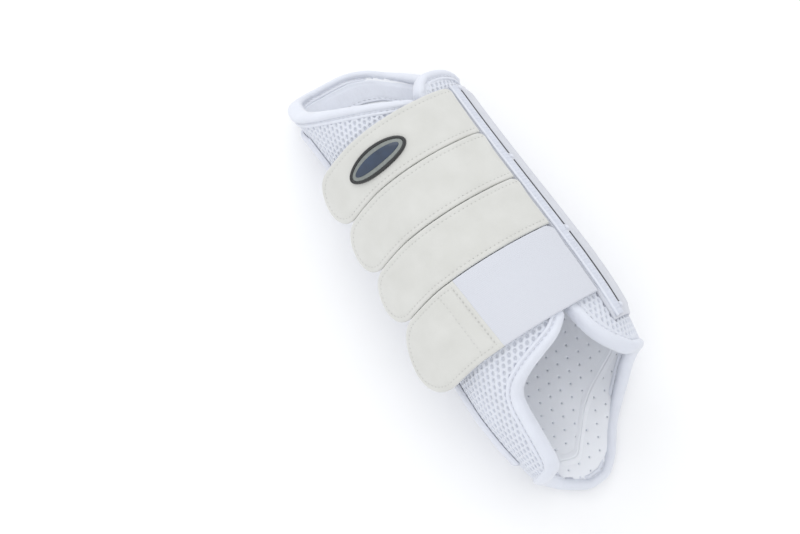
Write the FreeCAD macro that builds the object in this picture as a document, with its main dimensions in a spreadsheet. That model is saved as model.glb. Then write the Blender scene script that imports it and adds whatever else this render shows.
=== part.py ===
"""Horse leg boot, one of a pair, closed and lying on its strike shell.

Millimetres. X runs along the leg towards the fetlock end, Y towards the strap rail,
Z up. The origin is the middle of the flat panel under the strike shell.
Girth angles are degrees from +Z through -Y (the tab side), -Z (the shell) and +Y
(the rail side). Depth is measured into the wall from the outside of the mesh.
"""
import FreeCAD, Part
import math
import os

from FreeCAD import Placement, Rotation, Vector

doc = FreeCAD.newDocument("LegBoot")
sheet = doc.addObject("Spreadsheet::Sheet", "Dimensions")

# Driving dimensions: alias, value, meaning.
DIMENSIONS = [
    ("HalfWidth", 51.0, "half width of the tube over the mesh"),
    ("CrownRise", 39.0, "height of the crown above the widest level"),
    ("KeelDrop", 36.0, "depth of the flat underside below the widest level"),
    ("FlatHalf", 22.0, "half width of the flat underside"),
    ("BaseLift", 4.0, "height of the mesh underside above the rest panel"),
    ("TaperMid", 1.01, "girth factor at the middle of the taper"),
    ("TaperSwing", 0.096, "girth factor gained or lost towards an end"),
    ("TaperCentre", -8.0, "X of the middle of the taper"),
    ("TaperLength", 80.0, "length scale of the taper"),
    ("TabGapAngle", -21.0, "closure edge of the tab side flap"),
    ("RailGapAngle", 332.0, "closure edge of the rail side flap"),
    ("HingeAngle", 262.5, "line on which the rail side wall flexes"),
    ("HingeDepth", -4.0, "the flex line lies this far outside the mesh"),
    ("HingeGap", 0.5, "half of the gap along the flex line, degrees"),
    ("MeshThick", 1.8, "spacer mesh"),
    ("CoreOuter", 1.9, "outside of the foam core"),
    ("CoreInner", 3.9, "inside of the foam core"),
    ("LinerOuter", 4.0, "outside of the perforated neoprene"),
    ("LinerInner", 6.5, "inside of the perforated neoprene"),
    ("BindWidth", 7.0, "width of the rim binding"),
    ("BindOuter", -0.6, "outside of the rim binding"),
    ("BindInner", 7.3, "inside of the rim binding"),
    ("Seat", 0.15, "gap left where soft pieces meet"),
    ("RimSeat", 0.9, "gap left between a rim binding and the layers inside it"),
    ("ShellOuter", -2.5, "outside of the strike shell"),
    ("ShellInner", -0.3, "inside of the strike shell"),
    ("ShellTabEdge", 86.0, "edge of the shell on the tab side"),
    ("ShellKneeInset", 17.0, "shell edge back from the knee rim"),
    ("ShellFetlockInset", 15.0, "shell edge back from the fetlock rim"),
    ("PanelLength", 190.0, "flat rest panel, along the leg"),
    ("PanelWidth", 38.0, "flat rest panel, across the leg"),
    ("PanelThick", 2.4, "flat rest panel, thickness"),
    ("SidePanelShift", 30.0, "Y of the side ribs of the shell"),
    ("VentLength", 13.0, "vent slash length"),
    ("VentWidth", 2.2, "vent slash width"),
    ("VentPitch", 30.0, "distance between vent pairs"),
    ("VentPairGap", 5.0, "distance between the two slashes of a pair"),
    ("VentAngle", 128.0, "girth angle of the vents"),
    ("RailEdgeAngle", 308.0, "edge of the strap rail beside the straps"),
    ("RailKnee", -80.0, "knee end of the strap rail"),
    ("RailFetlock", 80.0, "fetlock end of the strap rail"),
    ("SlotAngle", 297.3, "girth angle of the rail slots"),
    ("SlotLength", 44.4, "rail slot length"),
    ("SlotWidth", 2.6, "rail slot width"),
    ("SlotPitch", 50.6, "distance between rail slots"),
    ("SlotFirst", -52.0, "X of the middle of the first rail slot"),
    ("WebbingAngle", 303.5, "girth angle of the webbing laid on the rail"),
    ("WebbingWidth", 6.0, "webbing width"),
    ("WebbingThick", 0.7, "webbing thickness"),
    ("StrapRootAngle", 309.8, "sewn root of the straps"),
    ("StrapFetlockEdge", 62.5, "fetlock edge of the last strap"),
    ("StrapPitch", 32.2, "distance between strap edges"),
    ("LastStrapWidth", 44.0, "width of the last strap"),
    ("StrapGap", 0.9, "gap between neighbouring straps"),
    ("StrapThick", 2.4, "strap thickness"),
    ("StrapCoverThick", 1.5, "cover of a strap"),
    ("StrapClear", 0.8, "gap between strap and mesh"),
    ("TabFlare", 12.0, "a tab runs out straight, so its end stands this much further off"),
    ("FlareStart", 44.0, "angle where a tab leaves the curve of the wall"),
    ("FlareSpan", 43.0, "stretch over which it moves that far off, degrees"),
    ("TabEndAngle", 88.0, "end of the tabs"),
    ("LastTabExtra", 3.0, "the last tab is this much longer, degrees"),
    ("TabLean", 4.0, "a tab leans this much towards the fetlock by its end"),
    ("LeanStart", 45.0, "angle where the lean starts"),
    ("LeanSpan", 40.0, "stretch over which it leans that much, degrees"),
    ("TabRadius", 22.0, "corner radius of the tabs, at most half their width"),
    ("ElasticEnd", 29.0, "end of the bare elastic of the last strap"),
    ("CoreElasticEnd", 20.0, "end of the elastic inside the other straps"),
    ("HookStart", 40.0, "start of the hook pads"),
    ("HookEnd", 74.0, "end of the hook pads"),
    ("HookInset", 4.0, "hook pad back from the strap's edges"),
    ("LandingStart", 32.0, "start of the loop landing"),
    ("LandingEnd", 70.0, "end of the loop landing"),
    ("LandingThick", 0.35, "loop landing thickness"),
    ("BadgeX", -61.5, "X of the badge"),
    ("BadgeAngle", 31.0, "girth angle of the badge"),
    ("BadgeLength", 40.0, "badge, round the leg"),
    ("BadgeWidth", 16.0, "badge, along the leg"),
    ("BadgeRimWidth", 1.9, "rim of the badge"),
    ("BadgeThick", 1.6, "rim height"),
    ("BadgePlateThick", 1.0, "plate height"),
    ("BadgeInlayThick", 1.35, "inlay height"),
    ("TapeWidth", 7.0, "seam tape width"),
    ("TapeThick", 0.5, "seam tape thickness"),
    ("HemWidth", 16.0, "hem facing inside the knee end"),
]

# Half width given up at an X on the tab side and on the rail side.
TAB_SIDE_NARROWING = [(-140, 3), (-120, 3.6), (-100, 5.4), (-80, 7.6), (-60, 8.8), (-30, 9), (30, 8.9),
                      (60, 8.3), (80, 8.6), (100, 10.4), (120, 14), (135, 17.5), (150, 21)]
RAIL_SIDE_NARROWING = [(40, 0), (60, 0.7), (80, 2.6), (100, 6), (120, 8.6), (150, 10)]

# Rims: girth angle and X of the outermost point of the binding.
KNEE_RIM = [(-21, -80), (0, -86), (25, -94), (50, -103), (82, -117), (113, -134), (140, -139),
            (170, -138.5), (200, -134), (222, -123), (240, -110), (255, -98), (268, -90.5), (280, -89),
            (292, -91.5), (305, -92.5), (318, -92), (326, -89), (332, -83)]
FETLOCK_RIM = [(-21, 65), (-8, 72), (6, 75.5), (24, 80), (36, 85), (40, 90), (44, 112), (48, 124),
               (56, 129), (78, 131), (105, 131), (131, 133), (142, 137), (156, 145), (166, 148.5),
               (180, 148), (195, 141.5), (215, 122), (235, 109), (250, 102), (265, 99), (300, 98),
               (316, 91), (328, 78), (332, 65)]

CURVES = {"TabSide": TAB_SIDE_NARROWING, "RailSide": RAIL_SIDE_NARROWING,
          "Knee": KNEE_RIM, "Fetlock": FETLOCK_RIM}


def fill_sheet():
    """Write the driving dimensions and curves into the spreadsheet."""
    row = 1
    for alias, value, meaning in DIMENSIONS:
        sheet.set("A%d" % row, meaning)
        sheet.set("B%d" % row, "%g" % value)
        sheet.setAlias("B%d" % row, alias)
        row += 1
    for name, points in CURVES.items():
        for number, (at, value) in enumerate(points):
            sheet.set("A%d" % row, "%s curve, point %d" % (name, number))
            sheet.set("B%d" % row, "%g" % at)
            sheet.setAlias("B%d" % row, "%sPointAt%d" % (name, number))
            sheet.set("C%d" % row, "%g" % value)
            sheet.setAlias("C%d" % row, "%sPointValue%d" % (name, number))
            row += 1
    doc.recompute()


def size(alias):
    """A driving dimension, read from the spreadsheet."""
    return float(sheet.get(alias))


fill_sheet()


# ---------------------------------------------------------------- the wall's shape

def curve_points(name):
    return [(size("%sPointAt%d" % (name, k)), size("%sPointValue%d" % (name, k)))
            for k in range(len(CURVES[name]))]


def smooth_curve(points):
    """Piecewise cubic through the points, with no overshoot; returns a function."""
    xs = [p[0] for p in points]
    ys = [p[1] for p in points]
    slopes = [(ys[k + 1] - ys[k]) / (xs[k + 1] - xs[k]) for k in range(len(xs) - 1)]
    tangents = [slopes[0]]
    for before, after in zip(slopes, slopes[1:]):
        tangents.append(0.0 if before * after <= 0 else 2 * before * after / (before + after))
    tangents.append(slopes[-1])

    def value(at):
        at = min(max(at, xs[0]), xs[-1])
        k = max(i for i in range(len(xs) - 1) if xs[i] <= at or i == 0)
        span = xs[k + 1] - xs[k]
        u = (at - xs[k]) / span
        return (ys[k] * (1 + 2 * u) * (1 - u) ** 2 + ys[k + 1] * u * u * (3 - 2 * u)
                + span * tangents[k] * u * (1 - u) ** 2 - span * tangents[k + 1] * u * u * (1 - u))
    return value


tab_side_narrowing = smooth_curve(curve_points("TabSide"))
rail_side_narrowing = smooth_curve(curve_points("RailSide"))
knee_rim = smooth_curve(curve_points("Knee"))
fetlock_rim = smooth_curve(curve_points("Fetlock"))


def girth_factor(x):
    swing = math.tanh((x - size("TaperCentre")) / size("TaperLength"))
    return size("TaperMid") + size("TaperSwing") * swing


def wall_point(x, angle, depth):
    """Point of the wall: two quarter ellipses above, two and a flat below."""
    factor = girth_factor(x)
    depth = depth / factor
    cosine = math.cos(math.radians(angle))
    sine = math.sin(math.radians(angle))
    narrowing = tab_side_narrowing(x) if sine > 0 else rail_side_narrowing(x)
    half = size("HalfWidth") - depth - narrowing
    keel = size("KeelDrop") - depth
    flat = size("FlatHalf")
    if cosine >= 0:
        reach = 1 / math.hypot(sine / half, cosine / (size("CrownRise") - depth))
    elif abs(sine) * keel < -cosine * flat:
        reach = -keel / cosine
    else:
        a = (sine / (half - flat)) ** 2 + (cosine / keel) ** 2
        b = -2 * abs(sine) * flat / (half - flat) ** 2
        c = (flat / (half - flat)) ** 2 - 1
        reach = (-b + math.sqrt(b * b - 4 * a * c)) / (2 * a)
    up = size("KeelDrop") + cosine * reach
    return Vector(x, -sine * reach * factor, size("BaseLift") + up * factor)


def arc_per_degree(x, angle):
    return wall_point(x, angle + 0.5, 0).distanceToPoint(wall_point(x, angle - 0.5, 0))


def wall_normal(x, angle):
    """Outward direction across the leg."""
    round_leg = wall_point(x, angle + 0.5, 0) - wall_point(x, angle - 0.5, 0)
    return Vector(0, -round_leg.z, round_leg.y).normalize()


def spread(first, last, count):
    return [first + (last - first) * k / (count - 1) for k in range(count)]


def as_function(value):
    return value if callable(value) else (lambda angle: value)


def wrapped_sheet(angles, low, high, outer, inner, stations=23):
    """Closed solid between two depths of the wall, from X low to X high at each angle.

    An angle may be a pair, one for each end of its row, where a rim runs steeply.
    """
    low, high, outer, inner = [as_function(v) for v in (low, high, outer, inner)]
    ends = [angle if isinstance(angle, tuple) else (angle, angle) for angle in angles]

    def skin(depth):
        rows = []
        for start, stop in ends:
            row = zip(spread(low(start), high(stop), stations), spread(start, stop, stations))
            rows.append([wall_point(x, angle, depth(angle)) for x, angle in row])
        surface = Part.BSplineSurface()
        surface.interpolate(rows)
        return surface

    outside, inside = skin(outer), skin(inner)
    faces = [outside.toShape(), inside.toShape()]
    for edge_of in (lambda s: s.uIso(s.bounds()[0]), lambda s: s.uIso(s.bounds()[1]),
                    lambda s: s.vIso(s.bounds()[2]), lambda s: s.vIso(s.bounds()[3])):
        faces.append(Part.makeRuledSurface(edge_of(outside).toShape(), edge_of(inside).toShape()))
    skin_shell = Part.makeShell(faces)
    skin_shell.sewShape()
    solid = Part.makeSolid(skin_shell)
    if solid.Volume < 0:
        solid.reverse()
    return solid


def feature(label, shape):
    """A named sub-part whose shape is worked out above."""
    piece = doc.addObject("Part::Feature", label)
    piece.Shape = shape
    piece.Placement = Placement()
    piece.Label = label
    return piece


PARTS = []


def sub_part(label, shape):
    piece = feature(label, shape)
    PARTS.append(piece)
    return piece


def inset(rim, amount):
    """Line that far inside a rim, over the surface; below zero for a rim at the fetlock."""
    sign, reach = (1, amount) if amount > 0 else (-1, -amount)
    per_degree = arc_per_degree(0, 0)

    def line(angle):
        sides = spread(-reach, reach, 41)
        return sign * max(sign * rim(angle + side / per_degree) + math.sqrt(reach ** 2 - side ** 2)
                          for side in sides)
    return line


def shifted(line, amount):
    return lambda angle: line(angle) + amount


TAB_GAP = size("TabGapAngle")
RAIL_GAP = size("RailGapAngle")
HINGE_LOW = size("HingeAngle") - size("HingeGap")
HINGE_HIGH = size("HingeAngle") + size("HingeGap")
BIND = size("BindWidth")
SEAT = size("Seat")
RIM_SEAT = size("RimSeat")
BODY_LOW = inset(knee_rim, BIND + RIM_SEAT)
BODY_HIGH = inset(fetlock_rim, -BIND - RIM_SEAT)
EDGE_ANGLE = BIND / arc_per_degree(0, 0)
STEP = 5.0
TRACE = 600


def angle_rows(first, last, step=STEP):
    return spread(first, last, max(4, int(abs(last - first) / step) + 1))


def line_length(line, angles):
    """Length along a line of the wall up to each of the angles."""
    points = [wall_point(line(angle), angle, 0) for angle in angles]
    lengths = [0.0]
    for here, beyond in zip(points, points[1:]):
        lengths.append(lengths[-1] + here.distanceToPoint(beyond))
    return lengths


def rim_rows(rim, first, last, count=None):
    """Angles at even steps along a rim."""
    angles = spread(first, last, TRACE)
    lengths = line_length(rim, angles)
    marks = spread(0.0, lengths[-1], count or int(lengths[-1] / STEP) + 1)
    inner = [min(a for a, length in zip(angles, lengths) if length >= mark) for mark in marks[1:-1]]
    return [first] + inner + [last]


def wall_rows(first, last):
    """Rows of a wall layer: a pair of angles each, one on the knee line, one on the fetlock line."""
    count = max(len(rim_rows(line, first, last)) for line in (BODY_LOW, BODY_HIGH))
    return list(zip(rim_rows(BODY_LOW, first, last, count), rim_rows(BODY_HIGH, first, last, count)))


# ---------------------------------------------------------------- the padded wall

def wall_layers(suffix, first, last):
    """Mesh, foam core and perforated liner over one stretch of the girth."""
    rows = wall_rows(first, last)
    sub_part("mesh_cover_" + suffix,
             wrapped_sheet(rows, BODY_LOW, BODY_HIGH, 0.0, size("MeshThick")))
    sub_part("liner_" + suffix,
             wrapped_sheet(rows, BODY_LOW, BODY_HIGH, size("LinerOuter"), size("LinerInner")))


def foam_core(label, first, last):
    sub_part(label, wrapped_sheet(wall_rows(first, last), BODY_LOW, BODY_HIGH,
                                  size("CoreOuter"), size("CoreInner")))


def rim_bindings(suffix, first, last):
    outer, inner = size("BindOuter"), size("BindInner")
    sub_part("knee_binding_" + suffix,
             wrapped_sheet(rim_rows(knee_rim, first, last), knee_rim, inset(knee_rim, BIND),
                           outer, inner, 4))
    sub_part("fetlock_binding_" + suffix,
             wrapped_sheet(rim_rows(fetlock_rim, first, last), inset(fetlock_rim, -BIND), fetlock_rim,
                           outer, inner, 4))


def closure_binding(label, first, last):
    """Binding of a flap's closure edge, between the two rim bindings."""
    outer = size("BindOuter") + size("StrapClear") - SEAT
    sub_part(label, wrapped_sheet(spread(first, last, 4), BODY_LOW, BODY_HIGH, outer, size("BindInner")))


SEAT_ANGLE = SEAT / arc_per_degree(0, 0)
STRIKE_FROM = size("ShellTabEdge") + 38.0

wall_layers("tab_side", TAB_GAP + EDGE_ANGLE + SEAT_ANGLE, STRIKE_FROM - SEAT_ANGLE)
wall_layers("strike_side", STRIKE_FROM + SEAT_ANGLE, HINGE_LOW)
wall_layers("flap", HINGE_HIGH, RAIL_GAP - EDGE_ANGLE - SEAT_ANGLE)
foam_core("foam_core_tab_side", TAB_GAP + EDGE_ANGLE + SEAT_ANGLE, STRIKE_FROM - SEAT_ANGLE)
foam_core("strike_pad", STRIKE_FROM + SEAT_ANGLE, HINGE_LOW)
foam_core("foam_core_flap", HINGE_HIGH, RAIL_GAP - EDGE_ANGLE - SEAT_ANGLE)
rim_bindings("main", TAB_GAP, HINGE_LOW)
rim_bindings("flap", HINGE_HIGH, RAIL_GAP)
closure_binding("closure_binding_tab_side", TAB_GAP, TAB_GAP + EDGE_ANGLE)
closure_binding("closure_binding_flap", RAIL_GAP - EDGE_ANGLE, RAIL_GAP)


def inner_tapes():
    """Seam tape across the fetlock cup and the hem facing of the knee end."""
    outer = size("LinerInner") + SEAT
    inner = outer + size("TapeThick")
    seam = smooth_curve([(150, 126), (165, 129), (180, 121), (200, 108), (225, 96), (258, 86)])
    half = size("TapeWidth") / 2
    sub_part("liner_seam_tape",
             wrapped_sheet(angle_rows(152, 258), shifted(seam, -half), shifted(seam, half), outer, inner, 4))
    start = inset(knee_rim, BIND + SEAT)
    stop = inset(knee_rim, BIND + size("HemWidth"))
    sub_part("knee_hem_facing",
             wrapped_sheet(angle_rows(90, 240), start, stop, outer + SEAT, inner + SEAT, 8))


inner_tapes()


# ---------------------------------------------------------------- the strike shell

def across_wall(x, angle, depth):
    """Placement with local X along the leg and local Z out of the wall."""
    out = wall_normal(x, angle)
    round_leg = out.cross(Vector(1, 0, 0))
    frame = Rotation(Vector(1, 0, 0), round_leg, out, "ZXY")
    return Placement(wall_point(x, angle, depth), frame)


def bound_box(name, place, length, width, height):
    """Box centred on its placement, bound to the sheet."""
    box = doc.addObject("Part::Box", name)
    box.setExpression("Length", length)
    box.setExpression("Width", width)
    box.setExpression("Height", height)
    doc.recompute()
    centre = Vector(-box.Length.Value / 2, -box.Width.Value / 2, -box.Height.Value / 2)
    box.Placement = place.multiply(Placement(centre, Rotation()))
    return box


def combine(kind, label, base, tools):
    """Part::Cut or Part::MultiFuse of document objects, under the sub-part's label."""
    if kind == "Cut":
        joined = tools[0]
        if len(tools) > 1:
            joined = doc.addObject("Part::MultiFuse", label + "_tools")
            joined.Shapes = tools
        result = doc.addObject("Part::Cut", label)
        result.Base = base
        result.Tool = joined
    else:
        result = doc.addObject("Part::MultiFuse", label)
        result.Shapes = [base] + tools
    result.Label = label
    doc.recompute()
    return result


def outer_shell():
    """Moulded shell with a flat rest panel, two side ribs and a row of vent slashes."""
    edge = size("ShellTabEdge")
    low = inset(knee_rim, size("ShellKneeInset"))
    high = inset(fetlock_rim, -size("ShellFetlockInset"))
    skin = feature("shell_skin", wrapped_sheet(angle_rows(edge, HINGE_LOW), low, high,
                                               size("ShellOuter"), size("ShellInner")))
    middle = Placement(Vector(0, 0, size("PanelThick") / 2), Rotation())
    panel = bound_box("rest_panel", middle, "Dimensions.PanelLength", "Dimensions.PanelWidth",
                      "Dimensions.PanelThick")
    solid = combine("Fuse", "shell_with_panel", skin, [panel])
    slashes = []
    for pair in range(5):
        x = (pair - 2) * size("VentPitch")
        for side in (-0.5, 0.5):
            place = across_wall(x + side * size("VentPairGap"), size("VentAngle"), size("ShellOuter"))
            place = place.multiply(Placement(Vector(), Rotation(Vector(0, 0, 1), 65)))
            slashes.append(bound_box("vent_%d_%d" % (pair, side * 2), place, "Dimensions.VentLength",
                                     "Dimensions.VentWidth", "Dimensions.PanelThick * 4"))
    PARTS.append(combine("Cut", "outer_shell", solid, slashes))


outer_shell()


def strap_rail():
    """Moulded rail on the rail side wall, with three long slots beside the straps."""
    wing = feature("rail_wing", wrapped_sheet(angle_rows(HINGE_HIGH, size("RailEdgeAngle")),
                                              size("RailKnee"), size("RailFetlock"),
                                              size("ShellOuter"), size("ShellInner")))
    slots = []
    for number in range(3):
        place = across_wall(size("SlotFirst") + number * size("SlotPitch"), size("SlotAngle"),
                            size("ShellOuter"))
        slots.append(bound_box("rail_slot_%d" % number, place, "Dimensions.SlotLength",
                               "Dimensions.SlotWidth", "Dimensions.PanelThick * 4"))
    PARTS.append(combine("Cut", "strap_rail", wing, slots))


strap_rail()


def rail_webbing():
    half = size("WebbingWidth") / 2 / arc_per_degree(0, size("WebbingAngle"))
    middle = size("WebbingAngle")
    outer = size("ShellOuter") - size("WebbingThick")
    sub_part("rail_webbing",
             wrapped_sheet(spread(middle - half, middle + half, 4), size("RailKnee") + 1,
                           size("RailFetlock") - 1, outer, size("ShellOuter") - SEAT))


rail_webbing()


def loop_landing():
    last = size("StrapFetlockEdge") - 3
    first = last - size("LastStrapWidth") - 3 * size("StrapPitch") + 6
    rows = angle_rows(size("LandingStart"), size("LandingEnd"))
    sub_part("loop_landing", wrapped_sheet(rows, first, last, -SEAT - size("LandingThick"), -SEAT))


loop_landing()


# ---------------------------------------------------------------- the four straps

def strap_clearance(angle):
    """Depth of a strap's inside: the tab runs out straight from the curve of the wall."""
    u = max((angle - size("FlareStart")) / size("FlareSpan"), 0)
    return -(size("StrapClear") + size("TabFlare") * u ** 2)


def tab_lean(angle):
    """How far the straps have leaned towards the fetlock."""
    return size("TabLean") * (max(angle - size("LeanStart"), 0) / size("LeanSpan")) ** 1.5


def strap_edges(number):
    """X of the knee edge and the fetlock edge of a strap, 1 to 4, before it leans."""
    gap = size("StrapGap") / 2
    last_start = size("StrapFetlockEdge") - size("LastStrapWidth")
    if number == 4:
        return last_start + gap, size("StrapFetlockEdge")
    knee = last_start - (4 - number) * size("StrapPitch")
    return knee + gap, knee + size("StrapPitch") - gap


def tab_outline(number):
    """Rows of a strap and how far its edges pull in at the rounded tab."""
    knee, fetlock = strap_edges(number)
    radius = min(size("TabRadius"), (fetlock - knee) / 2)
    tip = size("TabEndAngle") + (size("LastTabExtra") if number == 4 else 0)
    angles = spread(size("StrapRootAngle") - 360, tip, 300)
    points = [wall_point((knee + fetlock) / 2, a, strap_clearance(a) - size("StrapThick")) for a in angles]
    left = [0.0]
    for here, beyond in zip(reversed(points[:-1]), reversed(points[1:])):
        left.insert(0, left[0] + here.distanceToPoint(beyond))

    def from_tip(angle):
        k = min(max(int((angle - angles[0]) / (angles[1] - angles[0])), 0), len(angles) - 2)
        u = (angle - angles[k]) / (angles[k + 1] - angles[k])
        return left[k] + u * (left[k + 1] - left[k])

    round_start = max(a for a, distance in zip(angles, left) if distance > radius)
    blunt = 0.97
    rows = angle_rows(angles[0], round_start)
    for k in range(1, 7):
        wanted = radius * (1 - math.sin(math.radians(15 * k)) * blunt)
        rows.append(min(a for a, distance in zip(angles, left) if distance <= wanted))

    def pull(angle):
        into = max(0.0, radius - from_tip(angle))
        return radius - math.sqrt(max(radius * radius - into * into, 0.0))
    return rows, pull


def strap_layer(label, number, first, last, outer, inner, margin=0.0):
    """One layer of a strap between two girth angles, at distances from its inside."""
    knee, fetlock = strap_edges(number)
    rows, pull = tab_outline(number)
    kept = [first] + [a for a in rows if first + 1 < a < last - 0.2] + [last]
    sub_part(label, wrapped_sheet(kept, lambda a: knee + margin + pull(a) + tab_lean(a),
                                  lambda a: fetlock - margin - pull(a) + tab_lean(a),
                                  lambda a: strap_clearance(a) - outer,
                                  lambda a: strap_clearance(a) - inner, 4))


def strap(number):
    thick = size("StrapThick")
    under = thick - size("StrapCoverThick")
    root = size("StrapRootAngle") - 360
    last_row = tab_outline(number)[0][-1]
    if number == 4:
        strap_layer("elastic_4", 4, root, size("ElasticEnd") - SEAT_ANGLE, thick, 0.0)
        cover_start = size("ElasticEnd")
    else:
        strap_layer("elastic_%d" % number, number, root, size("CoreElasticEnd"), under - SEAT, 0.0, 1.5)
        cover_start = root
    strap_layer("strap_cover_%d" % number, number, cover_start, last_row, thick, under)
    strap_layer("hook_pad_%d" % number, number, size("HookStart"), size("HookEnd"), under - SEAT, 0.0,
                size("HookInset"))


for strap_number in (1, 2, 3, 4):
    strap(strap_number)


# ---------------------------------------------------------------- the badge

def oval_prism(name, shrink):
    """Oval, bound to the sheet, drawn out through the strap at the badge's place."""
    oval = doc.addObject("Part::Ellipse", name + "_oval")
    oval.setExpression("MajorRadius", "Dimensions.BadgeLength / 2 - %g * Dimensions.BadgeRimWidth" % shrink)
    oval.setExpression("MinorRadius", "Dimensions.BadgeWidth / 2 - %g * Dimensions.BadgeRimWidth" % shrink)
    place = across_wall(size("BadgeX"), size("BadgeAngle"), 20.0)
    oval.Placement = place.multiply(Placement(Vector(), Rotation(Vector(0, 0, 1), 90)))
    prism = doc.addObject("Part::Extrusion", name + "_prism")
    prism.Base = oval
    prism.DirMode = "Normal"
    prism.LengthFwd = 60
    prism.Solid = True
    doc.recompute()
    return prism


def badge_layer(name, low, high):
    """Curved layer that lies on the first strap, larger than the badge."""
    reach = size("BadgeLength") * 0.75 / arc_per_degree(size("BadgeX"), size("BadgeAngle"))
    rows = spread(size("BadgeAngle") - reach, size("BadgeAngle") + reach, 14)
    half = size("BadgeWidth")
    top = size("StrapThick")
    return feature(name + "_layer",
                   wrapped_sheet(rows, size("BadgeX") - half, size("BadgeX") + half,
                                 lambda a: strap_clearance(a) - top - high,
                                 lambda a: strap_clearance(a) - top - low, 4))


def common(label, first, second):
    result = doc.addObject("Part::Common", label)
    result.Base = first
    result.Tool = second
    result.Label = label
    doc.recompute()
    return result


def badge():
    outer = oval_prism("badge_outer", 0)
    inner = oval_prism("badge_inner", 1)
    band = oval_prism("badge_band", 1.9)
    base = 0.03
    ring = combine("Cut", "badge_ring", outer, [inner])
    PARTS.append(common("badge_rim", badge_layer("rim", base, size("BadgeThick")), ring))
    PARTS.append(common("badge_plate", badge_layer("plate", base, size("BadgePlateThick")), inner))
    PARTS.append(common("badge_inlay", badge_layer("inlay", size("BadgePlateThick") + base,
                                                   size("BadgeInlayThick")), band))


badge()


# ---------------------------------------------------------------- checks and files

def check_and_write():
    doc.recompute()
    for item in doc.Objects:
        if "Invalid" in item.State or "Error" in item.State:
            raise RuntimeError("%s failed: %s" % (item.Label, item.State))
    os.makedirs("parts", exist_ok=True)
    for piece in PARTS:
        shape = piece.Shape
        if shape.isNull() or not shape.isValid() or not shape.Solids or shape.Volume <= 0:
            raise RuntimeError("%s has no sound solid" % piece.Label)
    for piece in PARTS:
        piece.Shape.exportStep("parts/%s.step" % piece.Label)
        box = piece.Shape.BoundBox
        print("%-26s %8.0f mm3  x %.1f..%.1f  y %.1f..%.1f  z %.1f..%.1f" % (
            piece.Label, piece.Shape.Volume, box.XMin, box.XMax, box.YMin, box.YMax, box.ZMin, box.ZMax))


def report_joint_lines():
    """Joint lines, for the record."""
    for number in (1, 2, 3, 4):
        knee, fetlock = strap_edges(number)
        outside = -size("StrapClear") - size("StrapThick") - 0.5
        at = wall_point((knee + fetlock) / 2, size("StrapRootAngle"), outside)
        print("strap %d root %.2f %.2f %.2f" % (number, at.x, at.y, at.z))
    ends = [wall_point(x, size("HingeAngle"), size("HingeDepth")) for x in (-90.0, 90.0)]
    along = (ends[1] - ends[0]).normalize()
    middle = (ends[0] + ends[1]) * 0.5
    print("flap line %.2f %.2f %.2f along %.4f %.4f %.4f" % (tuple(middle) + tuple(along)))


check_and_write()
report_joint_lines()
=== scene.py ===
"""Looks of the horse leg boot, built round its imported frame.

Lengths are millimetres until a mesh is made. X runs along the leg towards the fetlock,
Z is up. Girth angles are degrees from +Z through -Y, as in the CAD model, and depth is
measured into the wall from the outside of the mesh cover.
"""
import math

import bpy
import numpy as np
from mathutils import Matrix, Vector


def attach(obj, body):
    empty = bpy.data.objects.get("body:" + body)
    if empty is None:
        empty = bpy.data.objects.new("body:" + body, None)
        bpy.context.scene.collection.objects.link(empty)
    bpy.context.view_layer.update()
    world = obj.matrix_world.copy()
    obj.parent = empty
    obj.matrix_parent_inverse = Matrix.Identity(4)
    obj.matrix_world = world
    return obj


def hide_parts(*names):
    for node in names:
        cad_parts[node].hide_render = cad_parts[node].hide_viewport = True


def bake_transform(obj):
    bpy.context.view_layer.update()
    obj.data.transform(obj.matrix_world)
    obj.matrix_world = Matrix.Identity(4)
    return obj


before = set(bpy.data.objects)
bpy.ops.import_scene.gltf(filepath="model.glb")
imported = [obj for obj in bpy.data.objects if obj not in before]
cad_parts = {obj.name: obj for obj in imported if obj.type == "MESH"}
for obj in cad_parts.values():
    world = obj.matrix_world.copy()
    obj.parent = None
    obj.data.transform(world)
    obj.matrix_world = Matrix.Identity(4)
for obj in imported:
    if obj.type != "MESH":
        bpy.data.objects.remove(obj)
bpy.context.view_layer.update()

MM = 0.001
SHARP = math.radians(62)

# ---------------------------------------------------------------- driving dimensions

HALF_WIDTH, CROWN_RISE, KEEL_DROP, FLAT_HALF, BASE_LIFT = 51.0, 39.0, 36.0, 22.0, 4.0
TAPER_MID, TAPER_SWING, TAPER_CENTRE, TAPER_LENGTH = 1.01, 0.096, -8.0, 80.0
TAB_GAP, RAIL_GAP = -21.0, 332.0
WALL_THICK = 6.5
SHELL_OUT, SHELL_IN = 2.5, 0.3
SHELL_EDGE, SHELL_FAR, RAIL_NEAR, RAIL_EDGE = 86.0, 262.0, 263.0, 308.0
SHELL_FROM_KNEE, SHELL_FROM_FETLOCK, RAIL_HALF = 17.0, 15.0, 80.0
KEEL_ANGLE = 180.0
# Girth angle where the wall's covers are parted, one piece for the root and one that flexes.
WALL_SPLIT = 225.0
STRAP_ROOT, TAB_END, LAST_TAB_EXTRA = -50.2, 88.0, 3.0
STRAP_PITCH, LAST_STRAP, STRAP_LAST_X, STRAP_GAP = 32.2, 44.0, 62.5, 0.3
STRAP_THICK, STRAP_CLEAR = 2.4, 0.8
TAB_FLARE, FLARE_START, FLARE_SPAN = 12.0, 44.0, 43.0
TAB_LEAN, LEAN_START, LEAN_SPAN = 4.0, 45.0, 40.0

# Half width given up at an X on the tab side and on the rail side.
TAB_SIDE_NARROWING = [(-140, 3), (-120, 3.6), (-100, 5.4), (-80, 7.6), (-60, 8.8), (-30, 9), (30, 8.9),
                      (60, 8.3), (80, 8.6), (100, 10.4), (120, 14), (135, 17.5), (150, 21)]
RAIL_SIDE_NARROWING = [(40, 0), (60, 0.7), (80, 2.6), (100, 6), (120, 8.6), (150, 10)]
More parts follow.
